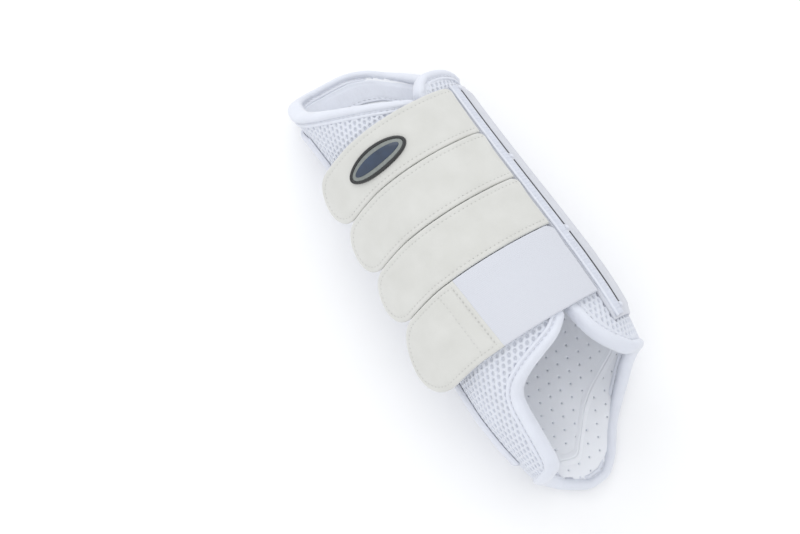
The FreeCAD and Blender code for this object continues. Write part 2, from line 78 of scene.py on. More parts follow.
# Rims: girth angle and X of the outermost point of the binding.
KNEE_RIM = [(-21, -80), (0, -86), (25, -94), (50, -103), (82, -117), (113, -134), (140, -139),
            (170, -138.5), (200, -134), (222, -123), (240, -110), (255, -98), (268, -90.5), (280, -89),
            (292, -91.5), (305, -92.5), (318, -92), (326, -89), (332, -83)]
FETLOCK_RIM = [(-21, 65), (-8, 72), (6, 75.5), (24, 80), (36, 85), (40, 90), (44, 112), (48, 124),
               (56, 129), (78, 131), (105, 131), (131, 133), (142, 137), (156, 145), (166, 148.5),
               (180, 148), (195, 141.5), (215, 122), (235, 109), (250, 102), (265, 99), (300, 98),
               (316, 91), (328, 78), (332, 65)]


# ---------------------------------------------------------------- the shape of the wall

def smooth_curve(points):
    """Cubic through the points with no overshoot, for arrays."""
    xs = np.array([p[0] for p in points], float)
    ys = np.array([p[1] for p in points], float)
    slopes = np.diff(ys) / np.diff(xs)
    tangents = np.zeros(len(xs))
    tangents[0], tangents[-1] = slopes[0], slopes[-1]
    for k in range(1, len(xs) - 1):
        before, after = slopes[k - 1], slopes[k]
        tangents[k] = 0.0 if before * after <= 0 else 2 * before * after / (before + after)

    def value(at):
        at = np.clip(at, xs[0], xs[-1])
        k = np.clip(np.searchsorted(xs, at, side="right") - 1, 0, len(xs) - 2)
        span = xs[k + 1] - xs[k]
        u = (at - xs[k]) / span
        return (ys[k] * (1 + 2 * u) * (1 - u) ** 2 + ys[k + 1] * u * u * (3 - 2 * u)
                + span * tangents[k] * u * (1 - u) ** 2 - span * tangents[k + 1] * u * u * (1 - u))
    return value


tab_side_narrowing = smooth_curve(TAB_SIDE_NARROWING)
rail_side_narrowing = smooth_curve(RAIL_SIDE_NARROWING)
knee_rim = smooth_curve(KNEE_RIM)
fetlock_rim = smooth_curve(FETLOCK_RIM)


def path_lengths(points):
    """Distance of every point along its row."""
    return np.concatenate([[0], np.cumsum(np.linalg.norm(np.diff(points, axis=0), axis=1))])


def smoothstep(value, low, high):
    u = np.clip((value - low) / (high - low), 0.0, 1.0)
    return u * u * (3 - 2 * u)


def girth_factor(x):
    return TAPER_MID + TAPER_SWING * np.tanh((x - TAPER_CENTRE) / TAPER_LENGTH)


def wall(x, angle, depth):
    """Points of the wall, the last axis being x, y, z."""
    x, angle, depth = np.broadcast_arrays(np.asarray(x, float), np.asarray(angle, float),
                                          np.asarray(depth, float))
    factor = girth_factor(x)
    depth = depth / factor
    cosine, sine = np.cos(np.radians(angle)), np.sin(np.radians(angle))
    narrowing = np.where(sine > 0, tab_side_narrowing(x), rail_side_narrowing(x))
    half = HALF_WIDTH - depth - narrowing
    keel = KEEL_DROP - depth
    above = 1 / np.hypot(sine / half, cosine / (CROWN_RISE - depth))
    side = half - FLAT_HALF
    a = (sine / side) ** 2 + (cosine / keel) ** 2
    b = -2 * np.abs(sine) * FLAT_HALF / side ** 2
    c = (FLAT_HALF / side) ** 2 - 1
    below = (-b + np.sqrt(np.maximum(b * b - 4 * a * c, 0))) / (2 * a)
    flat = keel / np.maximum(-cosine, 1e-6)
    below = np.where(np.abs(sine) * flat < FLAT_HALF, flat, below)
    reach = np.where(cosine >= 0, above, below)
    return np.stack([x, -sine * reach * factor,
                     BASE_LIFT + (KEEL_DROP + cosine * reach) * factor], -1)


ANGLES = np.linspace(-60, 400, 1841)
_ring = wall(0.0, ANGLES, 0.0)
ARCS = path_lengths(_ring)
ARCS -= np.interp(0.0, ANGLES, ARCS)


def arc_of(angle):
    """Distance round the girth from the crown, at X 0."""
    return np.interp(angle, ANGLES, ARCS)


def angle_of(arc):
    return np.interp(arc, ARCS, ANGLES)


GAP_LOW, GAP_HIGH = float(arc_of(TAB_GAP)), float(arc_of(RAIL_GAP))


def wall_normal(x, angle):
    """Outward unit vectors."""
    out = wall(x, angle, -1.0) - wall(x, angle, 0.0)
    return out / np.linalg.norm(out, axis=-1, keepdims=True)


# ---------------------------------------------------------------- mesh making

def new_object(name, points, faces, material, pattern=None):
    """Mesh object from points in millimetres; pattern gives a UV in millimetres per vertex."""
    mesh = bpy.data.meshes.new(name)
    mesh.from_pydata((np.asarray(points, float) * MM).tolist(), [], [tuple(f) for f in faces])
    mesh.validate()
    mesh.shade_smooth()
    mesh.set_sharp_from_angle(angle=SHARP)
    if pattern is not None:
        layer = mesh.uv_layers.new(name="pattern")
        loops = np.zeros(len(mesh.loops), dtype=np.int32)
        mesh.loops.foreach_get("vertex_index", loops)
        layer.data.foreach_set("uv", np.asarray(pattern, float)[loops].ravel())
    obj = bpy.data.objects.new(name, mesh)
    bpy.context.scene.collection.objects.link(obj)
    mesh.materials.append(material)
    return obj


def grid_faces(rows, columns, start=0, flip=False):
    index = start + np.arange(rows * columns).reshape(rows, columns)
    quads = np.stack([index[:-1, :-1], index[1:, :-1], index[1:, 1:], index[:-1, 1:]], -1)
    quads = quads.reshape(-1, 4)
    return (quads[:, ::-1] if flip else quads).tolist()


def closed_slab(name, top, bottom, material, pattern):
    """Closed solid between two grids of the same size."""
    rows, columns = top.shape[:2]
    count = rows * columns
    faces = grid_faces(rows, columns, 0, True) + grid_faces(rows, columns, count)
    index = np.arange(count).reshape(rows, columns)
    for line, turned in ((index[0, :], False), (index[-1, :], True),
                         (index[:, 0], True), (index[:, -1], False)):
        for a, b in zip(line[:-1], line[1:]):
            quad = (a, b, b + count, a + count)
            faces.append(quad if turned else quad[::-1])
    points = np.concatenate([top.reshape(-1, 3), bottom.reshape(-1, 3)])
    uv = np.concatenate([pattern.reshape(-1, 2)] * 2)
    return new_object(name, points, faces, material, uv)


def edge_drop(distance, radius):
    """Quarter circle of a rounded edge: 1 at the outline, 0 from the radius inwards."""
    u = np.clip(distance / radius, 0, 1)
    return 1 - np.sqrt(np.maximum(1 - (1 - u) ** 2, 0))


def ridge(distance, at, width, height):
    return height * np.exp(-((distance - at) / width) ** 4)


def groove(distance, at, width, depth):
    return depth * np.exp(-((distance - at) / width) ** 2)


def edge_spread(count, edge, width):
    """0 to 1, with extra stations in the rounded edge."""
    near = edge / width * np.array([0.0, 0.12, 0.3, 0.6, 1.0])
    middle = np.linspace(near[-1], 1 - near[-1], count)[1:-1]
    return np.concatenate([near, middle, 1 - near[::-1]])


def fine_noise(x, s, scale, seed=0.0):
    """Smooth repeatable unevenness, about -1 to 1."""
    total = np.zeros(np.broadcast(x, s).shape)
    rng = np.random.default_rng(int(seed * 977) + 11)
    for octave in range(5):
        for _ in range(4):
            turn = rng.uniform(0, 2 * math.pi)
            phase = rng.uniform(0, 2 * math.pi)
            wave = (1.7 ** octave) * rng.uniform(0.7, 1.3) / scale
            total = total + np.sin((x * math.cos(turn) + s * math.sin(turn)) * wave * 2 * math.pi
                                   + phase) / (1.6 ** octave)
    return total / 5.0


def tube_faces(rows, columns):
    """Faces round a stack of rings, and a face over either end."""
    index = np.arange(rows * columns).reshape(rows, columns)
    wrapped = np.concatenate([index, index[:, :1]], axis=1)
    faces = np.stack([wrapped[:-1, :-1], wrapped[:-1, 1:], wrapped[1:, 1:], wrapped[1:, :-1]], -1)
    return faces.reshape(-1, 4).tolist() + [index[0][::-1].tolist(), index[-1].tolist()]


def sweep(name, centres, across, up, profile, material):
    """Sweeps a closed profile, points of (across, up), along a path of frames."""
    profile = np.asarray(profile, float)
    if profile.ndim == 2:
        profile = np.broadcast_to(profile, (len(centres),) + profile.shape)
    points = centres[:, None] + across[:, None] * profile[..., 0:1] + up[:, None] * profile[..., 1:2]
    around = np.cumsum(np.linalg.norm(np.diff(profile, axis=1, prepend=profile[:, -1:]), axis=2), axis=1)
    uv = np.stack(np.broadcast_arrays(path_lengths(centres)[:, None], around), -1)
    return new_object(name, points.reshape(-1, 3), tube_faces(*points.shape[:2]), material,
                      uv.reshape(-1, 2))


def unit(vectors):
    return vectors / np.maximum(np.linalg.norm(vectors, axis=-1, keepdims=True), 1e-9)


def path_frames(x, angle, depth):
    """Points of a path on the wall, the direction across it and the outward normal."""
    points = wall(x, angle, depth)
    tangent = unit(np.gradient(points, axis=0))
    up = wall_normal(x, angle)
    up = unit(up - tangent * (up * tangent).sum(-1, keepdims=True))
    across = np.cross(tangent, up)
    return points, across, up


def at_lengths(wanted, lengths, rows):
    """Rows of values read off at distances along their line."""
    return np.stack([np.interp(wanted, lengths, column) for column in rows.T], 1)


# ---------------------------------------------------------------- stitches

STITCH_PITCH = 3.2


def thread_run(points, up, length=2.3, pitch=STITCH_PITCH, thick=0.55):
    """Points and faces of thread stitches along a line of points."""
    lengths = path_lengths(points)
    count = max(2, int(round(lengths[-1] / pitch)) + 1)
    even = np.linspace(pitch / 2, lengths[-1] - pitch / 2, count - 1)
    at = at_lengths(even, lengths, points)
    tangent = unit(at_lengths(even + 0.4, lengths, points) - at_lengths(even - 0.4, lengths, points))
    raised = at_lengths(even, lengths, up)
    raised = unit(raised - tangent * (raised * tangent).sum(-1, keepdims=True))
    side = np.cross(tangent, raised)
    places = np.linspace(-1, 1, 7)
    turns = np.linspace(0, 2 * math.pi, 8, endpoint=False)
    body = thick / 2 * np.sqrt(np.clip(1 - places ** 6 * 0.8, 0.05, 1))
    crown = thick * (0.35 - 0.75 * places ** 2)
    rings = (at[:, None, None] + tangent[:, None, None] * (places * length / 2)[None, :, None, None]
             + raised[:, None, None] * crown[None, :, None, None]
             + side[:, None, None] * (body[:, None] * np.cos(turns))[None, ..., None]
             + raised[:, None, None] * (body[:, None] * np.sin(turns))[None, ..., None])
    number, sections, around = rings.shape[:3]
    index = np.arange(number * sections * around).reshape(number, sections, around)
    wrapped = np.concatenate([index, index[..., :1]], -1)
    quads = np.stack([wrapped[:, :-1, :-1], wrapped[:, :-1, 1:], wrapped[:, 1:, 1:],
                      wrapped[:, 1:, :-1]], -1)
    faces = quads.reshape(-1, 4).tolist()
    faces += index[:, 0, ::-1].tolist() + index[:, -1].tolist()
    return rings.reshape(-1, 3), faces


def stitching(name, runs, material):
    """One object from several runs of stitches."""
    points, faces = [], []
    total = 0
    for run_points, run_faces in runs:
        points.append(run_points)
        faces.extend([tuple(i + total for i in face) for face in run_faces])
        total += len(run_points)
    return new_object(name, np.concatenate(points), faces, material)


# ---------------------------------------------------------------- materials

class Finish:
    """A Principled material built up from procedural nodes.

    Textures are laid in millimetres: on the pattern UV where the piece has one, otherwise
    in the piece's own space.
    """

    def __init__(self, name, colour, rough, on_pattern=True, **sockets):
        self.material = bpy.data.materials.new(name)
        self.material.use_nodes = True
        self.nodes = self.material.node_tree.nodes
        self.links = self.material.node_tree.links
        self.shader = self.nodes["Principled BSDF"]
        self.colour = colour
        self.shader.inputs["Base Color"].default_value = (*colour, 1)
        self.shader.inputs["Roughness"].default_value = rough
        for socket, value in sockets.items():
            self.shader.inputs[socket.replace("_", " ")].default_value = value
        if on_pattern:
            place = self.nodes.new("ShaderNodeUVMap")
            place.uv_map = "pattern"
            self.place = place.outputs["UV"]
        else:
            place = self.nodes.new("ShaderNodeTexCoord")
            scale = self.nodes.new("ShaderNodeVectorMath")
            scale.operation = "SCALE"
            scale.inputs["Scale"].default_value = 1 / MM
            self.links.new(place.outputs["Object"], scale.inputs[0])
            self.place = scale.outputs[0]
        self.normal = None

    def noise(self, size, detail=3.0, stretch=(1, 1, 1)):
        """Noise with features of about that many millimetres."""
        mapping = self.nodes.new("ShaderNodeMapping")
        mapping.inputs["Scale"].default_value = stretch
        self.links.new(self.place, mapping.inputs["Vector"])
        texture = self.nodes.new("ShaderNodeTexNoise")
        texture.inputs["Scale"].default_value = 1.0 / size
        texture.inputs["Detail"].default_value = detail
        self.links.new(mapping.outputs["Vector"], texture.inputs["Vector"])
        return texture.outputs["Fac"]

    def cells(self, size, randomness=1.0):
        texture = self.nodes.new("ShaderNodeTexVoronoi")
        texture.inputs["Scale"].default_value = 1.0 / size
        texture.inputs["Randomness"].default_value = randomness
        self.links.new(self.place, texture.inputs["Vector"])
        return texture.outputs["Distance"]

    def ribs(self, pitch, turn=0.0, wobble=0.0):
        """Parallel ribs; turn 0 sets them across X of the pattern, degrees otherwise."""
        mapping = self.nodes.new("ShaderNodeMapping")
        mapping.inputs["Rotation"].default_value = (0, 0, math.radians(turn))
        self.links.new(self.place, mapping.inputs["Vector"])
        wave = self.nodes.new("ShaderNodeTexWave")
        wave.bands_direction = "X"
        wave.inputs["Scale"].default_value = 0.31831 / pitch
        wave.inputs["Distortion"].default_value = wobble
        wave.inputs["Detail Scale"].default_value = 2.0
        self.links.new(mapping.outputs["Vector"], wave.inputs["Vector"])
        return wave.outputs["Fac"]

    def times(self, first, second):
        node = self.nodes.new("ShaderNodeMath")
        node.operation = "MULTIPLY"
        self.links.new(first, node.inputs[0])
        self.links.new(second, node.inputs[1])
        return node.outputs[0]

    def bump(self, height, millimetres, strength=1.0):
        node = self.nodes.new("ShaderNodeBump")
        node.inputs["Distance"].default_value = millimetres * MM
        node.inputs["Strength"].default_value = strength
        self.links.new(height, node.inputs["Height"])
        if self.normal:
            self.links.new(self.normal, node.inputs["Normal"])
        self.normal = node.outputs["Normal"]
        self.links.new(self.normal, self.shader.inputs["Normal"])
        return self

    def shades(self, amount, low, high, start=0.3, stop=0.7):
        """Colour between two shades of the base, by an amount."""
        ramp = self.nodes.new("ShaderNodeValToRGB")
        ramp.color_ramp.elements[0].position = start
        ramp.color_ramp.elements[1].position = stop
        for element, shade in zip(ramp.color_ramp.elements, (low, high)):
            factors = shade if isinstance(shade, tuple) else (shade,) * 3
            element.color = (*[min(1.0, c * f) for c, f in zip(self.colour, factors)], 1)
        self.links.new(amount, ramp.inputs["Fac"])
        self.links.new(ramp.outputs["Color"], self.shader.inputs["Base Color"])
        return self

    def roughness(self, amount, low, high):
        node = self.nodes.new("ShaderNodeMapRange")
        node.inputs["From Min"].default_value = 0.3
        node.inputs["From Max"].default_value = 0.7
        node.inputs["To Min"].default_value = low
        node.inputs["To Max"].default_value = high
        self.links.new(amount, node.inputs["Value"])
        self.links.new(node.outputs["Result"], self.shader.inputs["Roughness"])
        return self


WHITE = (0.715, 0.74, 0.81)
CREAM = (0.645, 0.645, 0.618)
LINING = (0.84, 0.857, 0.898)


def spacer_mesh_finish(shade=1.0):
    colour = tuple(c * shade for c in WHITE)
    made = Finish("spacer_mesh", colour, 0.75, Sheen_Weight=0.25, Sheen_Roughness=0.5)
    made.shades(made.noise(18.0), 0.975, 1.02)
    made.bump(made.times(made.ribs(0.42, 20), made.ribs(0.42, 110)), 0.08, 0.7)
    made.roughness(made.noise(6.0), 0.66, 0.82)
    return made.material


def lining_finish(colour):
    made = Finish("lining", colour, 0.8, Sheen_Weight=0.3, Sheen_Roughness=0.45)
    made.shades(made.noise(25.0, 4), 0.96, 1.02)
    made.bump(made.noise(0.5, 2), 0.05, 0.8)
    made.bump(made.noise(7.0, 3), 0.25, 0.35)
    made.roughness(made.noise(3.0), 0.72, 0.86)
    return made.material


def binding_finish():
    made = Finish("binding", (0.72, 0.745, 0.82), 0.62, Sheen_Weight=0.35, Sheen_Roughness=0.4)
    made.shades(made.noise(11.0, 4), 0.965, 1.02)
    made.bump(made.ribs(0.55, 90, 0.4), 0.05, 0.8)
    made.bump(made.noise(3.2, 3, (0.45, 1, 1)), 0.22, 0.5)
    made.roughness(made.noise(2.0), 0.55, 0.7)
    return made.material


def shell_finish(name="moulded_shell", colour=(0.70, 0.72, 0.79), on_pattern=True):
    made = Finish(name, colour, 0.42, on_pattern, Coat_Weight=0.05)
    made.shades(made.noise(30.0, 3), 0.98, 1.015)
    made.bump(made.noise(0.35, 2), 0.012, 0.8)
    made.roughness(made.noise(9.0, 5), 0.36, 0.5)
    return made.material


def elastic_finish():
    made = Finish("elastic", (0.651, 0.668, 0.727), 0.6, Sheen_Weight=0.25, Sheen_Roughness=0.35)
    made.shades(made.ribs(0.95, 0, 0.25), 0.975, 1.01, 0.1, 0.9)
    made.bump(made.ribs(0.95, 0, 0.25), 0.06, 0.7)
    made.bump(made.ribs(0.5, 90, 0.2), 0.05, 0.6)
    made.roughness(made.noise(5.0), 0.54, 0.68)
    return made.material


def strap_cover_finish():
    made = Finish("strap_cover", CREAM, 0.86, Sheen_Weight=0.45, Sheen_Roughness=0.55)
    made.shades(made.noise(16.0, 6), (0.955, 0.955, 0.95), (1.035, 1.035, 1.04))
    made.bump(made.noise(0.28, 3), 0.05, 0.75)
    made.bump(made.noise(4.5, 4), 0.22, 0.3)
    made.roughness(made.noise(5.0, 5), 0.78, 0.93)
    return made.material


def thread_finish(name, colour):
    made = Finish(name, colour, 0.5, False, Sheen_Weight=0.2)
    made.bump(made.ribs(0.3, 35), 0.05, 0.8)
    made.shades(made.noise(2.0), 0.96, 1.03)
    return made.material


def hook_finish():
    made = Finish("hook_tape", (0.70, 0.72, 0.78), 0.55)
    made.bump(made.cells(0.75, 0.35), 0.35, 0.9)
    made.shades(made.cells(0.75, 0.35), 1.04, 0.8, 0.1, 0.8)
    return made.material


def loop_finish():
    made = Finish("loop_pile", (0.80, 0.81, 0.87), 0.95, Sheen_Weight=0.6)
    made.bump(made.noise(0.55, 4), 0.3, 0.9)
    made.shades(made.noise(0.9, 3), 0.93, 1.03)
    return made.material


def foam_finish():
    made = Finish("foam", (0.78, 0.78, 0.76), 0.9, False)
    made.bump(made.cells(0.6), 0.2, 0.7)
    made.shades(made.cells(0.9), 1.0, 0.9)
    return made.material


def webbing_finish():
    made = Finish("webbing", (0.66, 0.69, 0.78), 0.66, False, Sheen_Weight=0.3)
    made.bump(made.ribs(0.9, 90), 0.15, 0.8)
    made.bump(made.ribs(1.3, 0), 0.08, 0.6)
    made.shades(made.noise(3.0), 0.95, 1.03)
    return made.material


def slot_shade_finish():
    """Dark grey for the pits of the rail's slots: painted shade, where only their depth makes them dark.
    """
    made = Finish("slot_painted_shade", (0.12, 0.125, 0.14), 0.8, Sheen_Weight=0.1)
    made.bump(made.ribs(0.8, 0), 0.1, 0.8)
    made.shades(made.noise(2.0), 0.85, 1.15)
    return made.material


def rim_finish():
    made = Finish("badge_rim", (0.012, 0.013, 0.015), 0.24, False, Coat_Weight=0.3)
    made.roughness(made.noise(2.0, 4), 0.2, 0.34)
    made.bump(made.noise(0.4), 0.01, 0.5)
    return made.material


def plate_finish():
    made = Finish("badge_plate", (0.25, 0.27, 0.26), 0.42, False, Metallic=0.3)
    made.roughness(made.noise(0.6, 4, (0.1, 1, 1)), 0.36, 0.5)
    made.bump(made.noise(0.5, 3), 0.02, 0.6)
    made.shades(made.noise(1.5, 4), 0.9, 1.08)
    return made.material


def inlay_finish():
    made = Finish("badge_inlay", (0.018, 0.036, 0.075), 0.3, False, Coat_Weight=0.5)
    made.shades(made.noise(7.0, 2), 0.8, 1.3)
    made.bump(made.noise(0.5), 0.01, 0.5)
    return made.material


FINISH = {
    "net": spacer_mesh_finish(),
    # Darker copy of the mesh finish for the pit floors: painted shade in the holes.
    "net_pit_painted_shade": spacer_mesh_finish(shade=0.84),
    "lining": lining_finish(LINING),
    # Dark copy of the lining finish for the floors of its punched holes: painted shade.
    "lining_hole_painted_shade": lining_finish((0.52, 0.54, 0.62)),
    # Dark grey for the slots' pits: painted shade.
    "painted_slot_shade": slot_shade_finish(),
    "binding": binding_finish(),
    "shell": shell_finish(),
    "rail": shell_finish("rail_plastic", on_pattern=False),
    "slotted": shell_finish("slotted_rail", (0.62, 0.635, 0.69)),
    "elastic": elastic_finish(),
    "cover": strap_cover_finish(),
    "cream_thread": thread_finish("cream_thread", (0.54, 0.54, 0.52)),
    "white_thread": thread_finish("white_thread", (0.74, 0.76, 0.82)),
    "hook": hook_finish(),
    "loop": loop_finish(),
    "foam": foam_finish(),
    "webbing": webbing_finish(),
    "rim": rim_finish(),
    "plate": plate_finish(),
    "inlay": inlay_finish(),
}


# ---------------------------------------------------------------- where pieces ride

def on_body(obj, body, slot, *nodes):
    """The piece rides on a body and hides the CAD nodes it stands for; slot is not used."""
    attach(obj, body)
    if nodes:
        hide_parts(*nodes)
    return obj


FLEX_ANGLES = 248.0, 276.0
FLEX_START, FLEX_END = [tuple((wall(0.0, turn, 0.0) * MM).tolist()) for turn in FLEX_ANGLES]


def across_flex(obj, slot, *nodes):
    """The rail side piece is baked in place and hides its CAD nodes; slot is not used."""
    if nodes:
        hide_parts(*nodes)
    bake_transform(obj)
    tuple(FLEX_START)
    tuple(FLEX_END)
    return obj


# ---------------------------------------------------------------- camera, light, floor

# The camera fitted to the photograph, its place in millimetres.
CAMERA_AT = 117.38, -110.44, 644.54
CAMERA_RIGHT = 0.5237, 0.8519, -0.0092
CAMERA_UP = -0.8269, 0.5108, 0.2351
FLOOR_HALF = 3.0


def set_stage():
    scene = bpy.context.scene
    data = bpy.data.cameras.new("camera")
    data.lens, data.sensor_width = 50.0, 36.0
    data.clip_start, data.clip_end = 0.01, 20.0
    camera = bpy.data.objects.new("camera", data)
    right, up = Vector(CAMERA_RIGHT), Vector(CAMERA_UP)
    turn = Matrix((right, up, right.cross(up))).transposed().to_4x4()
    camera.matrix_world = Matrix.Translation(Vector(CAMERA_AT) * MM) @ turn
    scene.collection.objects.link(camera)
    scene.camera = camera

    world = bpy.data.worlds.new("studio")
    world.use_nodes = True
    background = world.node_tree.nodes["Background"]
    background.inputs["Color"].default_value = (0.98, 0.99, 1.0, 1)
    background.inputs["Strength"].default_value = 0.97
    scene.world = world
    scene.view_settings.view_transform = "Standard"

    def soft_light(name, at, power, size):
        lamp = bpy.data.lights.new(name, "AREA")
        lamp.energy, lamp.size, lamp.shape = power, size, "DISK"
        obj = bpy.data.objects.new(name, lamp)
        obj.location = at
        obj.rotation_euler = (-Vector(at)).to_track_quat("-Z", "Y").to_euler()
        scene.collection.objects.link(obj)

    soft_light("key", (-0.9, 0.1, 0.9), 3.6, 1.2)
    soft_light("fill", (0.6, -0.8, 1.1), 1.6, 1.4)

    mesh = bpy.data.meshes.new("floor")
    corners = [(x * FLOOR_HALF, y * FLOOR_HALF, 0) for x, y in ((-1, -1), (1, -1), (1, 1), (-1, 1))]
    mesh.from_pydata(corners, [], [(0, 1, 2, 3)])
    floor = bpy.data.objects.new("floor", mesh)
    scene.collection.objects.link(floor)
    made = Finish("floor", (0.97, 0.97, 0.975), 0.9, False)
    made.shades(made.noise(60.0), 0.995, 1.0)
    mesh.materials.append(made.material)


set_stage()


# ---------------------------------------------------------------- sheets made of cells

LATTICE_REACH = 90


def cell_outline(first, second, edge_points=2):
    """Boundary of the hexagonal cell of a lattice, as offsets."""
    first, second = np.array(first, float), np.array(second, float)
    hood = [first, second, second - first, -first, -second, first - second]
    corners = []
    for a, b in zip(hood, hood[1:] + hood[:1]):
        double = 2 * (a[0] * b[1] - a[1] * b[0])
        corners.append(((b[1] * (a @ a) - a[1] * (b @ b)) / double,
                        (a[0] * (b @ b) - b[0] * (a @ a)) / double))
    corners = np.array(corners)
    following = np.roll(corners, -1, axis=0)
    return np.concatenate([[c + (f - c) * k / edge_points for k in range(edge_points)]
                           for c, f in zip(corners, following)])


def within_wall(places, margin=1.2):
    """Draws points that lie past the wall's edges in to just inside them."""
    s = np.clip(places[..., 1], GAP_LOW + margin, GAP_HIGH - margin)
    angle = angle_of(s)
    x = np.clip(places[..., 0], knee_rim(angle) + margin, fetlock_rim(angle) - margin)
    return np.stack([x, s], -1)


def cell_sheet(name, first, second, hole, turn, rings, back, inside, finish, floor, relief=None):
    """Closed sheet of cells, each with a pit whose floor takes the floor material: painted shade.

    first and second are the steps of the lattice, as (x, arc). hole is the pit's half length
    and half width, turn its direction in degrees from X. Each ring is (share of the cell
    outline, growth of the hole outline, depth); back is the depth of the sheet's inside.
    """
    outline = cell_outline(first, second)
    along = np.array([math.cos(math.radians(turn)), math.sin(math.radians(turn))])
    side = np.array([-along[1], along[0]])
    polar = np.arctan2(outline @ side, outline @ along)
    reach = 1 / np.hypot(np.cos(polar) / hole[0], np.sin(polar) / hole[1])
    pit = reach[:, None] * (np.cos(polar)[:, None] * along + np.sin(polar)[:, None] * side)
    steps = np.arange(-LATTICE_REACH, LATTICE_REACH + 1)
    index = np.stack(np.meshgrid(steps, steps, indexing="ij"), -1)
    centres = index.reshape(-1, 2) @ np.array([first, second], float)
    centres = centres[inside(centres[:, 0], centres[:, 1])]
    count, around = len(centres), len(outline)

    # Corners that fall in the same fiftieth of a millimetre are one corner of both cells.
    flat = (centres[:, None] + outline[None]).reshape(-1, 2)
    keys = np.floor(flat * 50 + 0.37).astype(np.int64)
    _, pick, shared = np.unique(keys, axis=0, return_index=True, return_inverse=True)
    shared = shared.reshape(count, around)
    border = within_wall(flat[pick])
    borders = len(border)

    def lift(places):
        return 0.0 if relief is None else relief(places[..., 0], places[..., 1])

    def on_wall(places, depth):
        return wall(places[..., 0], angle_of(places[..., 1]), depth - lift(places))

    points = [on_wall(border, rings[0][2]), wall(border[:, 0], angle_of(border[:, 1]), back)]
    uv = [border, border]
    total = 2 * borders
    before = shared
    faces, kinds = [], []
    for share, grow, depth in rings[1:]:
        places = within_wall(centres[:, None] + share * outline[None] + (1 - share) * grow * pit[None])
        points.append(on_wall(places, depth).reshape(-1, 3))
        uv.append(places.reshape(-1, 2))
        ring = total + np.arange(count * around).reshape(count, around)
        total += count * around
        quads = np.stack([before, np.roll(before, -1, 1), np.roll(ring, -1, 1), ring], -1)
        faces.extend(quads.reshape(-1, 4).tolist())
        kinds.extend([0] * (count * around))
        before = ring
    # The pit floors take the second material, a darker copy of the finish: painted shade in the pits.
    faces.extend(before.tolist())
    kinds.extend([1] * count)
    faces.extend((shared + borders)[:, ::-1].tolist())
    kinds.extend([0] * count)
    edges = np.stack([shared, np.roll(shared, -1, 1)], -1).reshape(-1, 2)
    ordered = np.sort(edges, axis=1)
    _, first_at, times = np.unique(ordered, axis=0, return_index=True, return_counts=True)
    for a, b in edges[first_at[times == 1]]:
        faces.append((int(b), int(a), int(a) + borders, int(b) + borders))
        kinds.append(0)
    obj = new_object(name, np.concatenate(points), faces, finish, np.concatenate(uv))
    obj.data.materials.append(floor)
    obj.data.polygons.foreach_set("material_index", np.array(kinds, dtype=np.int32))
    return obj


def from_rims(x, angle):
    """Distance from the knee rim and from the fetlock rim over the surface, below 0 outside."""
    s = arc_of(angle)
    turns = np.linspace(TAB_GAP - 8, RAIL_GAP + 8, 1400)
    found = []
    for rim, sign in ((knee_rim, 1), (fetlock_rim, -1)):
        line_x, line_s = rim(turns), arc_of(turns)
        flat_x, flat_s = np.ravel(x), np.ravel(s)
        near = np.empty(flat_x.size)
        for k in range(0, flat_x.size, 4000):
            part = slice(k, k + 4000)
            near[part] = np.hypot(flat_x[part, None] - line_x, flat_s[part, None] - line_s).min(1)
        side = np.sign(sign * (flat_x - rim(np.ravel(angle))))
        found.append((near * side).reshape(np.shape(x)))
    return found


# Girth angles of the two pieces of a cover, past the wall's closure edges.
WALL_PARTS = (-60, WALL_SPLIT), (WALL_SPLIT, 400)


def wall_part(first, last, margin):
    """Test for the cells of the wall between two girth angles, clear of its outer edges."""
    low, high = float(arc_of(first)), float(arc_of(last))

    def inside(x, s):
        knee, fetlock = from_rims(x, angle_of(s))
        room = (np.minimum(knee, fetlock) > margin) & (s > GAP_LOW + margin) & (s < GAP_HIGH - margin)
        return room & (s > low) & (s <= high)
    return inside


def outside_shell(test, margin=5.0):
    """Leaves out the cells that the moulded shell and the rail hide."""
    def inside(x, s):
        angle = angle_of(s)
        knee, fetlock = from_rims(x, angle)
        turn = margin * 1.2
        shell = ((angle > SHELL_EDGE + turn) & (angle < SHELL_FAR - turn)
                 & (knee > SHELL_FROM_KNEE + margin) & (fetlock > SHELL_FROM_FETLOCK + margin))
        rail = ((angle > RAIL_NEAR + turn) & (angle < RAIL_EDGE - turn)
                & (np.abs(x) < RAIL_HALF - margin))
        return test(x, s) & ~shell & ~rail
    return inside


def mesh_cover():
    """Openwork of the spacer mesh: an oval pit in every cell."""
    rings = ((1, 1, 0.0), (0.45, 1.25, 0.02), (0, 1.1, 0.14), (0, 0.98, 0.45), (0, 0.88, 0.85))
    for name, (first, last) in zip(("mesh_cover", "mesh_cover_rail_side"), WALL_PARTS):
        test = outside_shell(wall_part(first, last, 2.4))
        # The pit floors take a darker copy of the net finish: painted shade.
        yield cell_sheet(name, (0, 3.6), (3.2, 1.8), (1.34, 0.92), 30, rings, 1.8, test,
                         FINISH["net"], FINISH["net_pit_painted_shade"])


def lining_relief(x, s):
    """The lining waves a little, and dips under the bindings."""
    knee, fetlock = from_rims(x, angle_of(s))
    edge = np.minimum.reduce([knee, fetlock, s - GAP_LOW, GAP_HIGH - s])
    wave = 0.25 * fine_noise(x, s, 60.0) * smoothstep(edge, 6, 22)
    return wave + 0.3 * (1 - smoothstep(edge, 4.8, 6.6))


def lining():
    """Neoprene lining with rows of punched holes."""
    rings = ((1, 1, 6.5), (0.62, 1.0, 6.5), (0.22, 1.35, 6.49), (0, 1.25, 6.42), (0, 0.95, 6.2),
             (0, 0.85, 5.75))
    for name, (first, last) in zip(("lining", "lining_rail_side"), WALL_PARTS):
        # The hole floors take a dark copy of the lining finish: painted shade.
        yield cell_sheet(name, (0, 7.7), (6.67, 3.85), (0.6, 0.6), 0, rings, 4.0,
                         wall_part(first, last, 1.6), FINISH["lining"], FINISH["lining_hole_painted_shade"],
                         relief=lining_relief)


